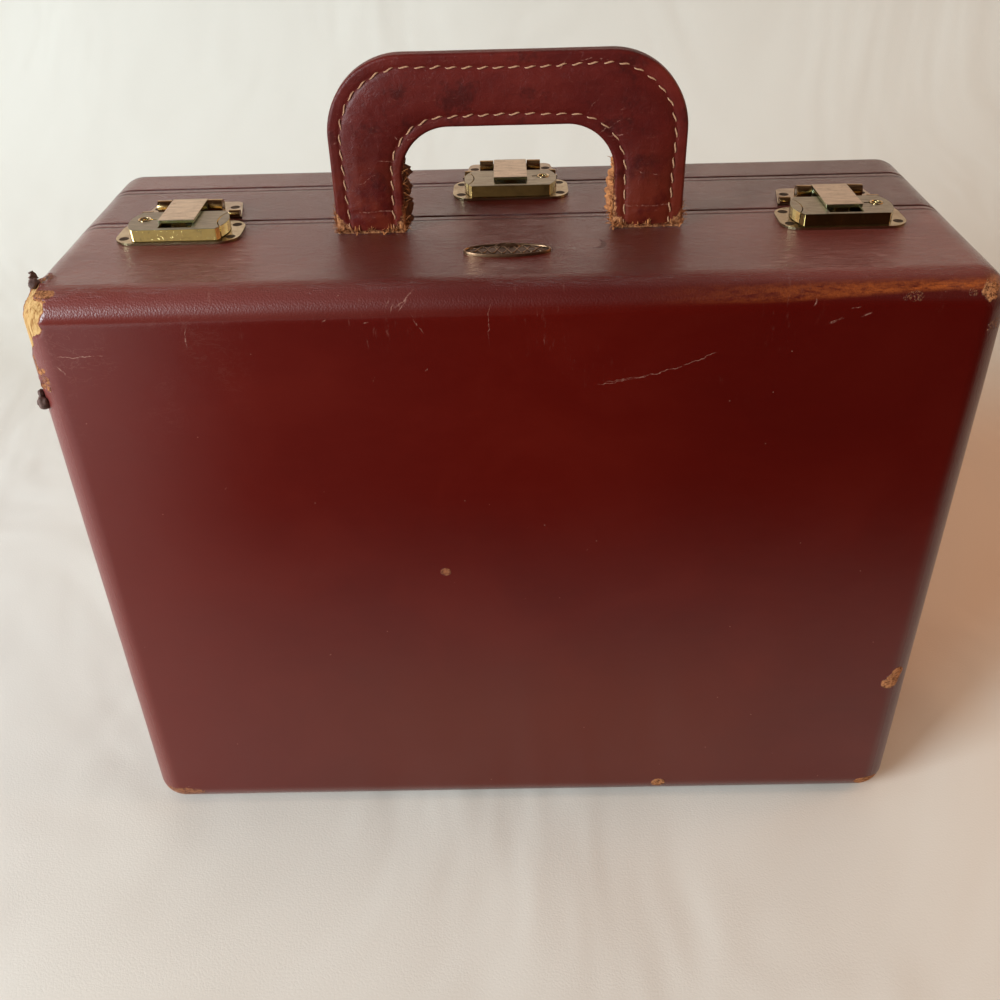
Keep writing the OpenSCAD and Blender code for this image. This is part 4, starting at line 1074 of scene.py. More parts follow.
@dataclass
class LeatherScraps:
    """Scraps of leather left at the torn corner: crumpled lumps, and a flap that is a strip rolled into a spiral."""

    finishes: Finishes
    thickness: float = 1.1 * MM
    corner_r: float = 14 * MM

    def root(self, turn: float, back: float, down: float = 0.0) -> Array:
        """Point just under the skin of the long top left edge.

        Args:
            turn: Angle round the edge in degrees, 0 on the left side and 90 on top.
            back: Distance behind the front face.
            down: Distance below the end of the rounding.

        Returns:
            The point.
        """
        low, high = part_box("main_leather")
        bend = self.corner_r - 0.8 * MM
        angle = math.radians(turn)
        return np.array([low[0] + self.corner_r - bend * math.cos(angle), low[1] + back,
                         high[2] - self.corner_r + bend * math.sin(angle) - down])

    def flap(self, root: Sequence[float], along: Sequence[float], out: Sequence[float], length: float,
             width: float, roll: float, seed: int) -> tuple[Array, list]:
        """One flap: a strip that leaves the skin at root and curls as it goes.

        Args:
            root: Where the flap leaves the skin.
            along: Direction across the flap's width.
            out: Direction in which it starts.
            length: Length of the strip.
            width: Width of the strip.
            roll: How far it curls, in radians.
            seed: Number that picks its ragged border.

        Returns:
            The vertices and the faces of a closed flap.
        """
        across = np.array(along) / np.linalg.norm(along)
        start = np.array(out) / np.linalg.norm(out)
        up = np.cross(across, start)
        t = np.linspace(0.0, 1.0, 22)[:, None]
        s = np.linspace(-0.5, 0.5, 12)[None, :]
        turn = roll * t ** 1.2
        step = length / 21
        run_x = np.cumsum(np.cos(turn), axis=0) * step
        run_y = np.cumsum(np.sin(turn), axis=0) * step
        spread = width * s * (1 - 0.45 * t ** 2)
        seeds = np.stack([t + 0 * s, s + 0 * t, np.full((22, 12), seed * 0.37)], axis=-1)
        ragged = lattice_noise(seeds * 0.01, 0.0021, seed) * 0.6 * MM
        middle = (np.array(root) + run_x[..., None] * start + run_y[..., None] * up
                  + (spread + ragged)[..., None] * across + (ragged * 0.8)[..., None] * up)
        facing = -np.sin(turn)[..., None] * start + np.cos(turn)[..., None] * up
        half = self.thickness / 2 * (1 - 0.5 * t)[..., None]
        top = middle + facing * half
        bottom = middle - facing * half
        loop = np.concatenate([top, bottom[:, ::-1]], axis=1)
        faces = grid_faces(22, 24, False, True)
        faces.append(list(range(24))[::-1])
        faces.append([21 * 24 + k for k in range(24)])
        return loop.reshape(-1, 3), faces

    def lump(self, centre: Sequence[float], size: Sequence[float], seed: int) -> tuple[Array, list]:
        """Crumpled lump of leather: an ellipsoid whose radius varies with smooth noise.

        Args:
            centre: Middle of the lump.
            size: Half sizes along X, Y and Z.
            seed: Number that picks its shape.

        Returns:
            The vertices and the faces of a closed lump.
        """
        down = np.linspace(0.06, math.pi - 0.06, 22)[:, None]
        turn = np.linspace(0, 2 * math.pi, 33)[:-1][None, :]
        ball = np.stack([np.sin(down) * np.cos(turn), np.sin(down) * np.sin(turn), np.cos(down) + 0 * turn], axis=-1)
        radius = 1 + 0.34 * lattice_noise(ball + seed, 0.75, seed) + 0.16 * lattice_noise(ball + seed, 0.33, seed + 1)
        verts = np.array(centre) + ball * radius[..., None] * np.array(size)
        faces = grid_faces(22, 32, False, True, flip=True)
        faces.append(list(range(32)))
        faces.append([21 * 32 + k for k in range(32)][::-1])
        return verts.reshape(-1, 3), faces

    def build(self) -> None:
        """Builds the flaps and lumps beside the torn corner."""
        parts = [
            self.lump(self.root(54, 16.0 * MM) + np.array([0.5, 0, 2.4]) * MM, (2.3 * MM, 2.6 * MM, 2.1 * MM), 1),
            self.flap(self.root(56, 17 * MM) + np.array([0.0, 0, 3.2]) * MM, (0.5, 1, 0), (-0.2, 0.1, 0.97),
                      3.3 * MM, 3.0 * MM, -0.15, 2),
            self.lump(self.root(4, 4.6 * MM, 33.9 * MM) + np.array([0.9, 0.2, 0]) * MM, (2.5 * MM, 2.7 * MM, 3.2 * MM), 3),
            self.lump(self.root(3, 5.6 * MM, 30.2 * MM) + np.array([0.9, 0, 0]) * MM, (1.3 * MM, 1.6 * MM, 2.2 * MM), 4),
        ]
        verts, faces = join_parts(parts)
        piece = make_object("corner_leather_scraps", verts, faces, 70.0)
        self.finishes.dress(piece, "scrap")
        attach(piece, "main_case")
        LOG.info("corner scraps: %d parts", len(parts))


# Handle

@dataclass
class Handle:
    """Stitched handle: a band between an outer and an inner arch, padded along its middle."""

    finishes: Finishes
    leg_w: float = 28.5 * MM
    grip_d: float = 27.4 * MM
    outer_r: float = 31 * MM
    inner_r: float = 19.5 * MM
    flange_half: float = 3.5 * MM
    padded_half: float = 4.7 * MM
    edge_r: float = 1.3 * MM
    seam_half: float = 0.30 * MM
    outer_inset: float = 5.4 * MM
    inner_inset: float = 4.6 * MM
    stitch_pitch: float = 6.1 * MM
    thread_r: float = 0.32 * MM
    breaks: tuple[float, ...] = (0.0, 0.20, 0.42, 0.58, 0.80, 1.0)

    def __post_init__(self) -> None:
        """Takes the handle's place and size from its CAD nodes."""
        front_low, front_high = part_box("handle_front_leather")
        _, back_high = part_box("handle_back_leather")
        self.half_w = (front_high[0] - front_low[0]) / 2
        self.rise = front_high[2] - front_low[2]
        self.foot_z = front_low[2]
        self.mid_y = (front_low[1] + back_high[1]) / 2

    def arch(self, u: Array, half: float, rise: float, radius: float) -> tuple[Array, Array]:
        """Points of an arch: up a leg, round a quarter circle, along the grip and down again.

        Args:
            u: Place along the arch, from 0 to 1.
            half: Half width of the arch.
            rise: Height of the arch.
            radius: Radius of its corners.

        Returns:
            The distances along X and Z.
        """
        mirrored = np.where(u > 0.5, 1.0 - u, u)
        leg = np.clip(mirrored / self.breaks[1], 0.0, 1.0)
        turn = np.clip((mirrored - self.breaks[1]) / (self.breaks[2] - self.breaks[1]), 0.0, 1.0) * math.pi / 2
        bar = np.clip((mirrored - self.breaks[2]) / (0.5 - self.breaks[2]), 0.0, 1.0)
        x = -half + radius * (1 - np.cos(turn)) + (half - radius) * bar
        z = leg * (rise - radius) + radius * np.sin(turn)
        return np.where(u > 0.5, -x, x), z

    def band(self, u: Array, w: Array) -> tuple[Array, Array, Array]:
        """Point of the band at u along it and w across it, and its distance to the nearer edge."""
        outer_x, outer_z = self.arch(u, self.half_w, self.rise, self.outer_r)
        inner_x, inner_z = self.arch(u, self.half_w - self.leg_w, self.rise - self.grip_d, self.inner_r)
        width = np.hypot(outer_x - inner_x, outer_z - inner_z)
        x = outer_x + (inner_x - outer_x) * w
        z = outer_z + (inner_z - outer_z) * w
        return x, z, np.minimum(w, 1 - w) * width

    def thickness(self, gap: Array, z: Array, inner: Array | float) -> Array:
        """Half thickness of the band: rounded edge, stitched groove, padded middle, flat feet.

        Args:
            gap: Distance to the nearer edge.
            z: Height above the foot.
            inner: 1 where the nearer edge is the inner one, 0 where it is the outer one.

        Returns:
            The half thickness.
        """
        edge = np.clip(gap / self.edge_r, 0.0, 1.0)
        half = self.flange_half - self.edge_r + self.edge_r * np.sqrt(1 - (1 - edge) ** 2)
        row = self.outer_inset + (self.inner_inset - self.outer_inset) * inner
        pad = np.sin(np.clip((gap - row) / (9.0 * MM), 0.0, 1.0) * math.pi / 2) * smooth(-1 * MM, 9 * MM, z)
        crease = 0.35 * MM * np.exp(-((z - 8.6 * MM) / (1.3 * MM)) ** 2) * smooth(5.0 * MM, 8 * MM, gap)
        groove = 0.38 * MM * np.exp(-((gap - row) / (0.9 * MM)) ** 2)
        return half + (self.padded_half - self.flange_half) * pad - groove - crease

    def side(self, name: str, facing: float, nodes: Sequence[str]) -> None:
        """One leather side of the handle.

        Args:
            name: Name of the piece.
            facing: -1 for the side towards the front, 1 for the other.
            nodes: CAD nodes that it stands for.
        """
        count_u = 260
        w = np.concatenate([np.linspace(0, 0.06, 8), np.linspace(0.06, 0.94, 44)[1:-1], np.linspace(0.94, 1, 8)])
        u = np.linspace(0.0, 1.0, count_u)[:, None]
        x, z, gap = self.band(u, w[None, :])
        half = self.thickness(gap, z, np.broadcast_to(w > 0.5, gap.shape))
        points = np.stack([x, 0 * x, z], axis=-1)
        half += (lattice_noise(points, 14 * MM, 41) * 0.16 + lattice_noise(points, 4 * MM, 43) * 0.05) * MM
        half = np.minimum(half, self.padded_half)
        surface = np.stack([x, self.mid_y + facing * half, self.foot_z + z], axis=-1)
        seam_outer = surface[:, :1].copy()
        seam_inner = surface[:, -1:].copy()
        seam_outer[..., 1] = self.mid_y + facing * self.seam_half
        seam_inner[..., 1] = self.mid_y + facing * self.seam_half
        tongue = surface[:, [-12, 11]].copy()
        tongue[..., 1] = self.mid_y + (-0.45 * MM if facing > 0 else -self.seam_half)
        loop = np.concatenate([seam_outer, surface, seam_inner, tongue], axis=1)
        cols = loop.shape[1]
        faces = grid_faces(count_u, cols, False, True, flip=facing < 0)
        first = list(range(cols))
        last = [(count_u - 1) * cols + k for k in range(cols)]
        faces.append(first if facing < 0 else first[::-1])
        faces.append(last[::-1] if facing < 0 else last)
        piece = make_object(name, loop, faces, 55.0)
        foot = smooth(9 * MM, 0.5 * MM, z)
        gap_all = np.concatenate([gap[:, :1], gap, gap[:, -1:], gap[:, [-12, 11]]], axis=1)
        foot_all = np.concatenate([foot[:, :1], foot, foot[:, -1:], foot[:, [-12, 11]]], axis=1)
        z_all = loop[..., 2] - self.foot_z
        inner_side = np.concatenate([[0.0], smooth(0.5, 0.9, w), [1.0, 1.0, 0.0]])[None, :]
        rubbed = 0.62 * smooth(2.2 * MM, 0.2 * MM, gap_all)
        frayed = inner_side * smooth(34 * MM, 6 * MM, z_all) * smooth(3.5 * MM, 0.0, gap_all)
        corners = smooth(14.5 * MM, 4.0 * MM, z_all + gap_all * 1.15)
        corners = corners * (0.93 + 0.12 * smooth(-0.055, -0.062, loop[..., 0]) - 0.06 * (loop[..., 0] > 0))
        add_attribute(piece, "edge", rubbed + 0.25 * foot_all)
        add_attribute(piece, "torn", 0.0 * z_all)
        add_attribute(piece, "tan", np.maximum.reduce([0.80 * corners, 0.56 * smooth(3.6 * MM, 0.4 * MM, z_all),
                                                       0.60 * frayed]))
        self.finishes.dress(piece, "handle_leather")
        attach(piece, "main_case")
        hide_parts(*nodes)
        LOG.info("%s: %d faces", name, len(faces))

    def stitching(self, name: str, facing: float) -> None:
        """Two rows of slanted stitches on one side: a thread that dips through the leather.

        Args:
            name: Name of the piece.
            facing: -1 for the side towards the front, 1 for the other.
        """
        parts = []
        rng = np.random.default_rng(9)
        for inner in (False, True):
            u = np.linspace(0.012, 0.988, 3000)
            outer_x, outer_z = self.arch(u, self.half_w, self.rise, self.outer_r)
            inner_x, inner_z = self.arch(u, self.half_w - self.leg_w, self.rise - self.grip_d, self.inner_r)
            width = np.hypot(outer_x - inner_x, outer_z - inner_z)
            share = (self.inner_inset if inner else self.outer_inset) / width
            w = 1 - share if inner else share
            x, z, gap = self.band(u, w)
            run = np.concatenate([[0.0], np.cumsum(np.hypot(np.diff(x), np.diff(z)))])
            stitches = round(run[-1] / self.stitch_pitch)
            place = np.linspace(0.0, run[-1], stitches * 12 + 1)
            x = np.interp(place, run, x)
            z = np.interp(place, run, z)
            gap = np.interp(place, run, gap)
            phase = place / run[-1] * stitches * 2 * math.pi
            surface = self.thickness(gap, z, float(inner))
            lift = 0.30 * MM * np.clip(2.4 * np.cos(phase) + 1.1, -1.6, 1.0)
            path = np.stack([x, self.mid_y + facing * (surface + lift), self.foot_z + z], axis=1)
            tangent = np.gradient(path, axis=0)
            across = np.cross(tangent, np.array([0.0, 1.0, 0.0]))
            across /= np.linalg.norm(across, axis=1, keepdims=True)
            drift = np.interp(place, np.linspace(0, run[-1], 60), rng.normal(0, 0.16, 60))
            path += across * ((0.30 * np.sin(phase) + drift) * MM)[:, None]
            normals = np.tile(np.array([0.0, facing, 0.0]), (len(path), 1))
            radius = self.thread_r * (0.72 + 0.28 * np.clip(1.5 * np.cos(phase), -1, 1))
            parts.append(tube(path, normals, radius))
        verts, faces = join_parts(parts)
        piece = make_object(name, verts, faces)
        self.finishes.dress(piece, "thread")
        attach(piece, "main_case")
        LOG.info("%s: %d faces", name, len(faces))

    def frays(self) -> None:
        """Torn fibres round the feet and up the inner edges of the legs.

        Each fibre is a narrow tapering ribbon that bends as it leaves the edge. Their places come
        from a seeded random row, so they are the same each time.
        """
        rng = np.random.default_rng(5)
        count = 620
        leg = rng.choice([-1.0, 1.0], count)
        where = rng.random(count)
        inner_x = self.half_w - self.leg_w
        on_edge = where < 0.42
        corner = rng.random(count) < 0.62
        along = rng.random(count)
        along = np.where(rng.random(count) < 0.45, np.where(along < 0.6, along * 0.30, 1 - (1 - along) * 0.35), along)
        x = np.where(on_edge, np.where(corner, inner_x - 0.1 * MM, self.half_w - 0.2 * MM),
                     inner_x + along * self.leg_w)
        reach = np.where(corner, 26 * MM, 10 * MM)
        z = np.where(on_edge, rng.random(count) ** 1.6 * reach + 0.6 * MM, 0.5 * MM + rng.random(count) * 1.2 * MM)
        y = self.mid_y + np.where(on_edge, rng.uniform(-1, 1, count), np.sign(rng.random(count) - 0.35) * 1.0) \
            * (self.flange_half + np.where(on_edge, -0.4, 0.1) * MM)
        out = np.stack([np.where(on_edge, np.where(corner, -1.0, 1.0), rng.uniform(-0.9, 0.9, count)),
                        np.where(on_edge, rng.uniform(-0.5, 0.5, count), np.sign(y - self.mid_y)),
                        rng.uniform(-0.15, 1.6, count)], axis=1)
        out[:, 2] = np.where(z < 1.6 * MM, np.abs(out[:, 2]), out[:, 2])
        out /= np.linalg.norm(out, axis=1, keepdims=True)
        length = rng.uniform(1.0, 4.2, count) * MM
        width = rng.uniform(0.35, 1.25, count) * MM
        bend = rng.uniform(-1.6, 1.6, count)
        t = np.linspace(0.0, 1.0, 5)
        root = np.stack([x, y, z], axis=1)
        side = np.cross(out, np.array([0.0, 0.0, 1.0]))
        side /= np.linalg.norm(side, axis=1, keepdims=True) + 1e-9
        up = np.cross(side, out)
        spine = (root[:, None, :] + out[:, None, :] * (length[:, None] * t * (1 - 0.25 * t))[..., None]
                 + up[:, None, :] * (length[:, None] * bend[:, None] * 0.4 * t ** 2)[..., None])
        half = (width[:, None] * (1 - 0.75 * t))[..., None] / 2
        thick = (0.16 * MM * (1 - 0.6 * t))[None, :, None]
        ring = np.stack([spine + side[:, None, :] * half, spine + up[:, None, :] * thick,
                         spine - side[:, None, :] * half, spine - up[:, None, :] * thick], axis=2)
        ring[..., 2] = np.maximum(ring[..., 2], 0.15 * MM)
        ring[..., 0] *= leg[:, None, None]
        ring[..., 2] += self.foot_z
        parts = []
        cap_faces = grid_faces(5, 4, False, True)
        cap_faces.append([3, 2, 1, 0])
        cap_faces.append([16, 17, 18, 19])
        turned = [face[::-1] for face in cap_faces]
        for k in range(count):
            parts.append((ring[k].reshape(-1, 3), cap_faces if leg[k] > 0 else turned))
        verts, faces = join_parts(parts)
        piece = make_object("handle_frayed_fibres", verts, faces)
        self.finishes.dress(piece, "fibre")
        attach(piece, "main_case")
        LOG.info("frays: %d fibres", count)

    def peel(self, name: str, leg: float, reach: float, height: float, finish: str, seed: int) -> None:
        """Ragged layer that has come away from a leg's inner edge: a strip along Z that stands out by noise.

        Args:
            name: Name of the piece.
            leg: -1 for the left leg, 1 for the right one.
            reach: How far it stands out at most.
            height: How far up the leg it goes.
            finish: Its material.
            seed: Number that picks its border.
        """
        rows, cols = 60, 10
        z = np.linspace(0.6 * MM, height, rows)[:, None]
        s = np.linspace(0.0, 1.0, cols)[None, :]
        fade = smooth(0.0, 3 * MM, z) * smooth(height, height * 0.62, z)
        spots = np.stack([0 * z + 0 * s, 0 * s + 0 * z, z + 0 * s], axis=-1)
        border = 0.62 + 0.42 * lattice_noise(spots, 3.4 * MM, seed) + 0.26 * lattice_noise(spots, 1.1 * MM, seed + 1)
        out = reach * np.clip(border, 0.05, 1.15) * fade
        inner_x = self.half_w - self.leg_w
        x = inner_x + 0.9 * MM - (0.9 * MM + out) * s
        crumple = np.stack([x, 0 * x, z + 0 * s], axis=-1)
        bend = 0.6 * MM * lattice_noise(crumple, 2.6 * MM, seed + 2)
        y = self.mid_y + 1.0 * MM + (2.2 * MM) * s * fade + bend * s
        thick = (0.75 * MM - 0.45 * MM * s) * (0.35 + 0.65 * fade)
        front = np.stack([leg * x, y - thick, self.foot_z + z + 0 * s], axis=-1)
        back = np.stack([leg * x, y + thick, self.foot_z + z + 0 * s], axis=-1)
        loop = np.concatenate([front, back[:, ::-1]], axis=1)
        faces = grid_faces(rows, 2 * cols, False, True, flip=leg > 0)
        first = list(range(2 * cols))
        last = [(rows - 1) * 2 * cols + k for k in range(2 * cols)]
        faces.append(first if leg > 0 else first[::-1])
        faces.append(last[::-1] if leg > 0 else last)
        piece = make_object(name, loop, faces, 60.0)
        self.finishes.dress(piece, finish)
        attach(piece, "main_case")
        LOG.info("%s: %d faces", name, len(faces))

    def build(self) -> None:
        """Builds the two leather sides, their stitching and the frayed fibres."""
        self.side("handle_front_side", -1.0, ("handle_front_leather",))
        self.side("handle_back_side", 1.0, ("handle_back_leather", "handle_pad"))
        self.stitching("handle_front_stitching", -1.0)
        self.stitching("handle_back_stitching", 1.0)
        self.frays()
        # The left leg's peeled layer takes the painted-shade copy of the fibre.
        self.peel("left_leg_peeled_layer", -1.0, 3.6 * MM, 42 * MM, "dark_fibre", 61)
        self.peel("right_leg_peeled_layer", 1.0, 3.0 * MM, 34 * MM, "fibre", 71)


# Badge

@dataclass
class Badge:
    """Bare oval badge: a domed field inside a raised rim, with two plain strands and a knob."""

    finishes: Finishes

    def build(self) -> None:
        """Builds the plate as rings of ovals, with sine strands along it and a lobed knob at its edge."""
        low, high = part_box("badge")
        centre = np.array([(low[0] + high[0]) / 2, (low[1] + high[1]) / 2])
        half = np.array([(high[0] - low[0]) / 2, (high[1] - low[1]) / 2])
        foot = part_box("main_leather")[1][2] - 0.3 * MM
        turn = np.linspace(0, 2 * math.pi, 97)[:-1]
        inset = np.array([0.0, 0.0, 0.10, 0.28, 0.45, 0.62, 0.76, 0.84, 1.1, 2.0, 3.0, 4.0, 5.0, 5.7]) * MM
        level = np.array([0.0, 0.75, 0.95, 1.05, 1.05, 0.95, 0.70, 0.42, 0.38, 0.48, 0.56, 0.62, 0.66, 0.68]) * MM
        rows = []
        for d, h in zip(inset, level):
            x = centre[0] + (half[0] - d) * np.cos(turn)
            y = centre[1] + (half[1] - d) * np.sin(turn)
            rows.append(np.stack([x, y, np.full_like(x, foot + 0.3 * MM * (h > 0) + h)], axis=1))
        verts = np.stack(rows)
        faces = grid_faces(len(rows), len(turn), False, True)
        faces.append(list(range(len(turn)))[::-1])
        faces.append([(len(rows) - 1) * len(turn) + k for k in range(len(turn))])
        parts = [(verts.reshape(-1, 3), faces)]
        spots = np.linspace(-0.90, 0.90, 181)
        sweep = np.sqrt(1 - spots ** 2) * (half[1] - 1.5 * MM) * 0.80
        for strand, lift in ((0.0, 0.0), (math.pi, 0.10)):
            x = centre[0] + spots * (half[0] - 1.2 * MM)
            y = centre[1] + sweep * np.sin(spots * 13 + strand)
            z = np.full_like(x, foot + (0.92 + lift) * MM)
            path = np.stack([x, y, z], axis=1)
            parts.append(tube(path, np.tile([0.0, 0.0, 1.0], (len(x), 1)), np.full(len(x), 0.27 * MM), 8))
        down = np.linspace(0.0, math.pi / 2, 8)[:, None]
        a = np.linspace(0, 2 * math.pi, 25)[:-1][None, :]
        crown = np.stack([centre[0] + 5.2 * MM * np.cos(down) * np.cos(a),
                          high[1] - 1.9 * MM + 1.8 * MM * np.cos(down) * np.sin(a),
                          foot + 0.6 * MM + 1.3 * MM * np.sin(down) * (1 + 0.25 * np.cos(4 * a))], axis=-1)
        parts.append((crown.reshape(-1, 3), grid_faces(8, 24, False, True) + [list(range(24))[::-1]]))
        verts, faces = join_parts(parts)
        piece = make_object("badge_plate", verts, faces, 60.0)
        ring = np.repeat((inset > 0.80 * MM).astype(float), len(turn))
        add_attribute(piece, "field", np.concatenate([ring, np.full(len(verts) - len(ring), 0.25)]))
        merge_doubles(piece, 2e-6)
        self.finishes.dress(piece, "bronze")
        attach(piece, "main_case")
        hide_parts("badge")
        LOG.info("badge: %d parts", len(parts))


# CAD nodes that stay

@dataclass
class Hardware:
    """Metal, wood and lining nodes of the CAD model, which keep their shape."""

    finishes: Finishes
    keyhole_x: float = 13.8 * MM
    keyhole_y: float = 1.6 * MM
    bevels: tuple[tuple[str, float], ...] = (("_lock_case", 0.30), ("_release", 0.30), ("_lever", 0.32),
                                             ("_hasp_plate", 0.45), ("_lock_plate", 0.30), ("_lock_nails", 0.40),
                                             ("_hasp_nails", 0.40))

    def soften(self, node: bpy.types.Object, width: float) -> None:
        """Joins a node's loose triangles and rounds its edges, as on stamped metal."""
        weld = node.modifiers.new("weld", "WELD")
        weld.merge_threshold = 1e-6
        bevel = node.modifiers.new("bevel", "BEVEL")
        bevel.width = width
        bevel.segments = 3
        bevel.limit_method = "ANGLE"
        bevel.angle_limit = math.radians(38)
        bevel.use_clamp_overlap = True
        bevel.harden_normals = True

    def build(self) -> None:
        """Gives each node its material, and rounds the edges of the lock pieces."""
        slots = {part["node"]: part["material_slot"] for part in frame["record"]["subparts"]}
        special = {"_lock_plate": "lock_plate", "_lock_case": "lock_case", "_release": "lock_case",
                   "_lever": "lever", "_hasp_plate": "hasp_plate"}
        for name, node in frame["nodes"].items():
            finish = slots.get(name, "brass")
            for ending, other in special.items():
                if name.endswith(ending):
                    finish = other
            # The left lock case takes the lit copy of the lock brass: painted reflection.
            finish = f"left_{finish}" if finish == "lock_case" and name.startswith("left_") else finish
            self.finishes.dress(node, finish)
            for ending, width in self.bevels:
                if name.endswith(ending):
                    self.soften(node, width * MM)
        for side, key_side, body in (("left", -1, "main_case"), ("right", 1, "main_case"),
                                     ("middle", 1, "middle_section")):
            self.key_ring(side, key_side, body)
        LOG.info("dressed %d CAD nodes", len(frame["nodes"]))

    def key_ring(self, side: str, key_side: float, body: str) -> None:
        """Pressed eyelet round a keyhole: a circle swept round a circle, a little uneven.

        Args:
            side: Which lock it is on.
            key_side: Side of the keyhole, -1 or 1.
            body: Body that it rides on.
        """
        low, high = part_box(f"{side}_lock_case")
        centre = ((low[0] + high[0]) / 2 + key_side * self.keyhole_x, (low[1] + high[1]) / 2 + self.keyhole_y, high[2])
        a = np.linspace(0, 2 * math.pi, 49)[:-1][:, None]
        b = np.linspace(0, 2 * math.pi, 13)[:-1][None, :]
        thick = (0.42 + 0.05 * np.sin(3 * a + key_side)) * MM
        wide = 2.35 * MM + thick * np.cos(b)
        verts = np.stack([centre[0] + wide * np.cos(a), centre[1] + wide * np.sin(a),
                          centre[2] + thick * 0.8 * np.sin(b)], axis=-1)
        ring = make_object(f"{side}_key_ring", verts, grid_faces(48, 12, True, True), 60.0)
        self.finishes.dress(ring, "key_ring")
        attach(ring, body)


# Studio

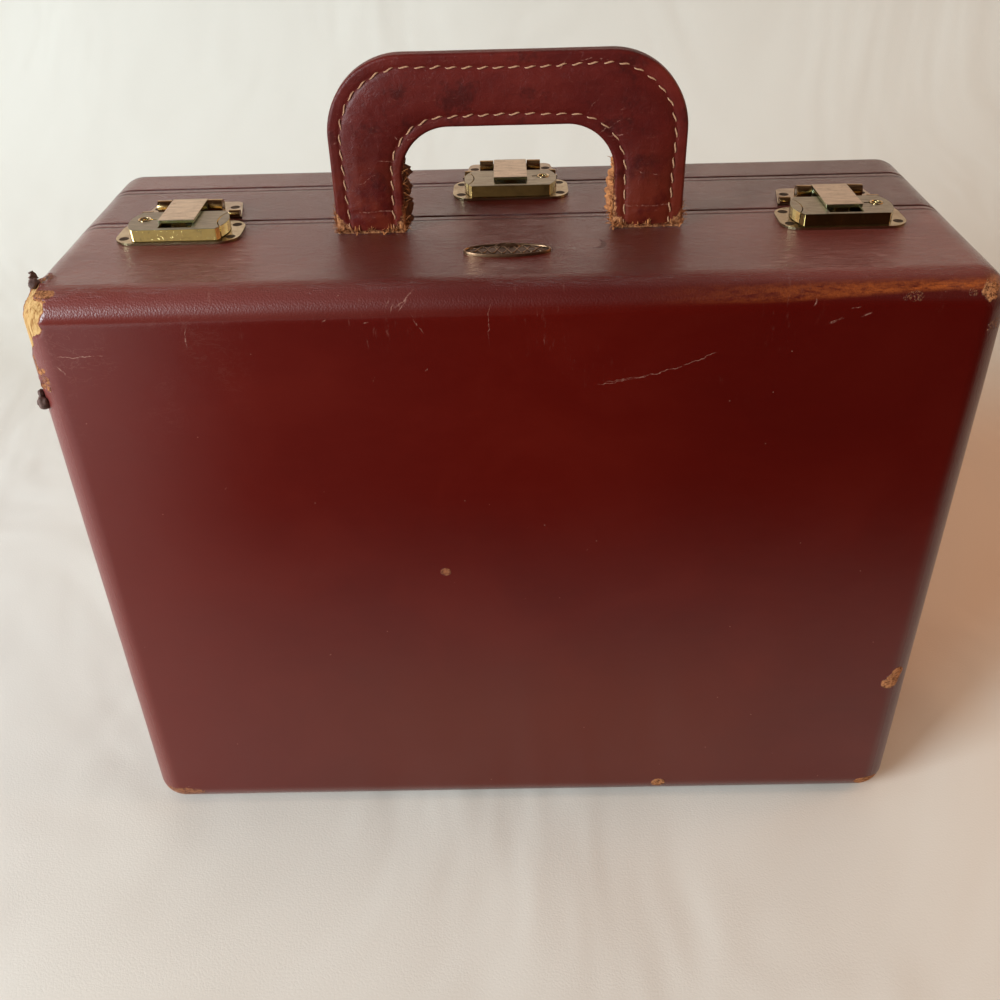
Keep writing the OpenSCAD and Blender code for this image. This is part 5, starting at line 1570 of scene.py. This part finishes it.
@dataclass
class Studio:
    """Pale sweep, soft lamps, a dark card that only reflections see, and the camera."""

    focal: float = 37.74
    sensor: float = 36.0
    place: tuple[float, float, float] = (-0.0005, -0.4401, 0.4448)
    yaw: float = 0.0157
    pitch: float = -0.6070
    roll: float = 0.0291

    def camera(self) -> None:
        """Sets up the camera from its place and its three turns."""
        cy, sy = math.cos(self.yaw), math.sin(self.yaw)
        cp, sp = math.cos(self.pitch), math.sin(self.pitch)
        cr, sr = math.cos(self.roll), math.sin(self.roll)
        turn = (Matrix(((cy, -sy, 0), (sy, cy, 0), (0, 0, 1))) @ Matrix(((1, 0, 0), (0, cp, -sp), (0, sp, cp)))
                @ Matrix(((cr, 0, sr), (0, 1, 0), (-sr, 0, cr))))
        right, ahead, up = turn.col[0], turn.col[1], turn.col[2]
        data = bpy.data.cameras.new("camera")
        data.lens = self.focal
        data.sensor_width = self.sensor
        camera = bpy.data.objects.new("camera", data)
        matrix = Matrix.Identity(4)
        for row in range(3):
            matrix[row][0] = right[row]
            matrix[row][1] = up[row]
            matrix[row][2] = -ahead[row]
            matrix[row][3] = self.place[row]
        camera.matrix_world = matrix
        bpy.context.collection.objects.link(camera)
        bpy.context.scene.camera = camera

    def cloth_material(self) -> bpy.types.Material:
        """Pale cloth of the sweep, a little warmer and darker low down, paler behind, with a painted warm shadow on the
        floor right of the case.
        """
        graph = Graph("pale_cloth")
        tint = graph.ramp(graph.noise(3.0, 3.0), ((0.3, (0.68, 0.62, 0.55)), (0.7, (0.74, 0.69, 0.625))))
        tint = graph.mix(graph.span(graph.x, -0.10, -0.50), tint, (0.725, 0.71, 0.68))
        behind = graph.span(graph.y, 0.15, 0.50)
        tint = graph.mix(behind, tint, (0.66, 0.64, 0.59))
        tint = graph.mix(graph.span(graph.z, 0.26, 0.42), tint, (0.85, 0.665, 0.575))
        tint = graph.mix(graph.span(graph.z, 0.85, 1.15), tint, (0.10, 0.05, 0.04))
        # Painted shadow: warm brown on the floor right of the case, where the case's shadow falls.
        painted_shadow = graph.times(graph.span(graph.x, 0.15, 0.20), graph.span(graph.x, 0.75, 0.35),
                           graph.span(graph.math("MULTIPLY_ADD", graph.x, -0.75, graph.y), -0.24, -0.14),
                           graph.span(graph.y, 0.46, 0.24))
        tint = graph.mix(graph.times(painted_shadow, 0.75), tint, (0.60, 0.40, 0.275))
        folds = graph.noise(1.0, 3.0, 0.5, graph.stretch((5.0, 3.0, 3.0), 25.0), 0.8)
        relief = graph.bump(folds, 0.012)
        relief = graph.bump(graph.noise(900.0, 2.0), 0.00008, relief)
        graph.set(Base_Color=tint, Roughness=0.9, Normal=relief, Specular_IOR_Level=0.2)
        away = graph.tree.nodes.new("ShaderNodeNewGeometry").outputs["Backfacing"]
        camera = graph.tree.nodes.new("ShaderNodeLightPath").outputs["Is Camera Ray"]
        clear = graph.tree.nodes.new("ShaderNodeBsdfTransparent")
        blend = graph.tree.nodes.new("ShaderNodeMixShader")
        graph.put(blend.inputs[0], graph.times(away, camera))
        graph.tree.links.new(graph.output.inputs["Surface"].links[0].from_socket, blend.inputs[1])
        graph.tree.links.new(clear.outputs[0], blend.inputs[2])
        graph.tree.links.new(blend.outputs[0], graph.output.inputs["Surface"])
        return graph.material

    def sweep(self) -> None:
        """Floor that curves up into a backdrop: a profile of depth and height carried along X."""
        turn = np.linspace(0, math.pi / 2, 17)
        bend = 0.30
        depth = np.concatenate([[-3.0, -1.2, -0.6, -0.2], 0.42 + bend * np.sin(turn), [0.72, 0.72]])
        height = np.concatenate([[0, 0, 0, 0], bend * (1 - np.cos(turn)), [1.6, 3.2]])
        across = np.linspace(-3.0, 3.0, 13)
        verts = np.empty((len(depth), len(across), 3))
        verts[..., 0] = across[None, :]
        verts[..., 1] = depth[:, None]
        verts[..., 2] = height[:, None] - 0.02 * MM
        floor = make_object("studio_sweep", verts, grid_faces(len(depth), len(across), False, False))
        floor.data.materials.append(self.cloth_material())

    def card(self, name: str, corners: Sequence[Sequence[float]], colour: Colour,
             fades: Sequence[tuple[int, float, float]], lean: float = 0.0) -> None:
        """Adds a flat card that only reflections see, with soft borders.

        Args:
            name: Name of the card.
            corners: Its four corners, in order round it.
            colour: Light that it gives.
            fades: Axis, and the places along it where the card is clear and full.
            lean: How far a fade along X moves per metre along Y.
        """
        card = make_object(name, np.array(corners, dtype=float), [[0, 1, 2, 3]])
        graph = Graph(name)
        clear = graph.tree.nodes.new("ShaderNodeBsdfTransparent")
        dark = graph.tree.nodes.new("ShaderNodeEmission")
        dark.inputs["Color"].default_value = (*colour, 1.0)
        blend = graph.tree.nodes.new("ShaderNodeMixShader")
        axes = (graph.math("MULTIPLY_ADD", graph.y, -lean, graph.x), graph.y, graph.z)
        graph.put(blend.inputs[0], graph.times(*[graph.span(axes[axis], a, b) for axis, a, b in fades]))
        graph.tree.links.new(clear.outputs[0], blend.inputs[1])
        graph.tree.links.new(dark.outputs[0], blend.inputs[2])
        graph.tree.links.new(blend.outputs[0], graph.output.inputs["Surface"])
        card.data.materials.append(graph.material)
        card.visible_camera = False
        card.visible_diffuse = False
        card.visible_shadow = False
        card.visible_transmission = False

    def room(self) -> None:
        """Dark parts of the room as reflections see them: low in front, on the right, and overhead."""
        self.card("reflection_card", ((-0.5, -1.65, 0.02), (1.4, -1.65, 0.02), (1.4, -0.09, 0.02), (-0.5, -0.09, 0.02)),
                  (0.026, 0.010, 0.006), ((0, -0.262, -0.066), (1, -0.07, -0.345)), 0.3)
        self.card("right_card", ((-0.8, -1.7, -0.2), (2.8, -1.7, -0.2), (2.8, -1.7, 2.0), (-0.8, -1.7, 2.0)),
                  (0.030, 0.012, 0.008), ((0, -0.55, 0.35),))
        self.card("ceiling_card", ((-2.6, -1.6, 1.9), (2.6, -1.6, 1.9), (2.6, 0.7, 1.9), (-2.6, 0.7, 1.9)),
                  (0.060, 0.030, 0.024), ((1, -1.6, -1.3),))

    def lamp(self, name: str, place: Sequence[float], aim: Sequence[float], size: tuple[float, float],
             power: float, colour: Colour) -> None:
        """Adds one soft rectangular lamp.

        Args:
            name: Name of the lamp.
            place: Where it hangs.
            aim: Point that it faces.
            size: Width and height in metres.
            power: Power in watts.
            colour: Colour of its light.
        """
        data = bpy.data.lights.new(name, "AREA")
        data.shape = "RECTANGLE"
        data.size, data.size_y = size
        data.energy = power
        data.color = colour
        lamp = bpy.data.objects.new(name, data)
        ahead = np.array(aim, dtype=float) - np.array(place, dtype=float)
        ahead /= np.linalg.norm(ahead)
        right = np.cross(ahead, [0.0, 0.0, 1.0])
        right /= np.linalg.norm(right)
        up = np.cross(right, ahead)
        matrix = Matrix.Identity(4)
        for row in range(3):
            matrix[row][0] = right[row]
            matrix[row][1] = up[row]
            matrix[row][2] = -ahead[row]
            matrix[row][3] = place[row]
        lamp.matrix_world = matrix
        bpy.context.collection.objects.link(lamp)

    def world(self) -> None:
        """Even pale surroundings."""
        world = bpy.data.worlds.new("studio_world")
        world.use_nodes = True
        back = world.node_tree.nodes["Background"]
        back.inputs["Color"].default_value = (1.0, 0.80, 0.62, 1.0)
        back.inputs["Strength"].default_value = 0.30
        bpy.context.scene.world = world

    def build(self) -> None:
        """Builds the studio."""
        self.sweep()
        self.room()
        self.world()
        self.lamp("window", (-1.58, -1.15, 0.84), (0.0, 0.0, 0.1), (0.9, 0.8), 56.0, (0.88, 1.0, 1.06))
        self.lamp("overhead", (0.2, 0.3, 2.6), (0.0, 0.3, 0.1), (1.6, 1.6), 11.0, (1.0, 0.97, 0.92))
        self.lamp("warm_bounce", (0.80, -0.05, 0.50), (0.30, 0.06, 0.0), (0.4, 0.4), 1.6, (1.0, 0.52, 0.24))
        self.camera()
        bpy.context.scene.view_settings.view_transform = "Standard"
        LOG.info("studio ready")


def main() -> None:
    """Builds the case's looks and the studio."""
    logging.basicConfig(level=logging.INFO)
    low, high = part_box("main_leather")
    seams = ((high[1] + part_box("middle_leather")[0][1]) / 2,
             (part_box("middle_leather")[1][1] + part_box("back_leather")[0][1]) / 2)
    finishes = Finishes(front_y=low[1], top_z=high[2], seams=seams)
    finishes.build()
    Hardware(finishes).build()
    CaseSkins(finishes).build()
    LeatherScraps(finishes).build()
    Handle(finishes).build()
    Badge(finishes).build()
    Studio().build()


if __name__ == "__main__":
    main()
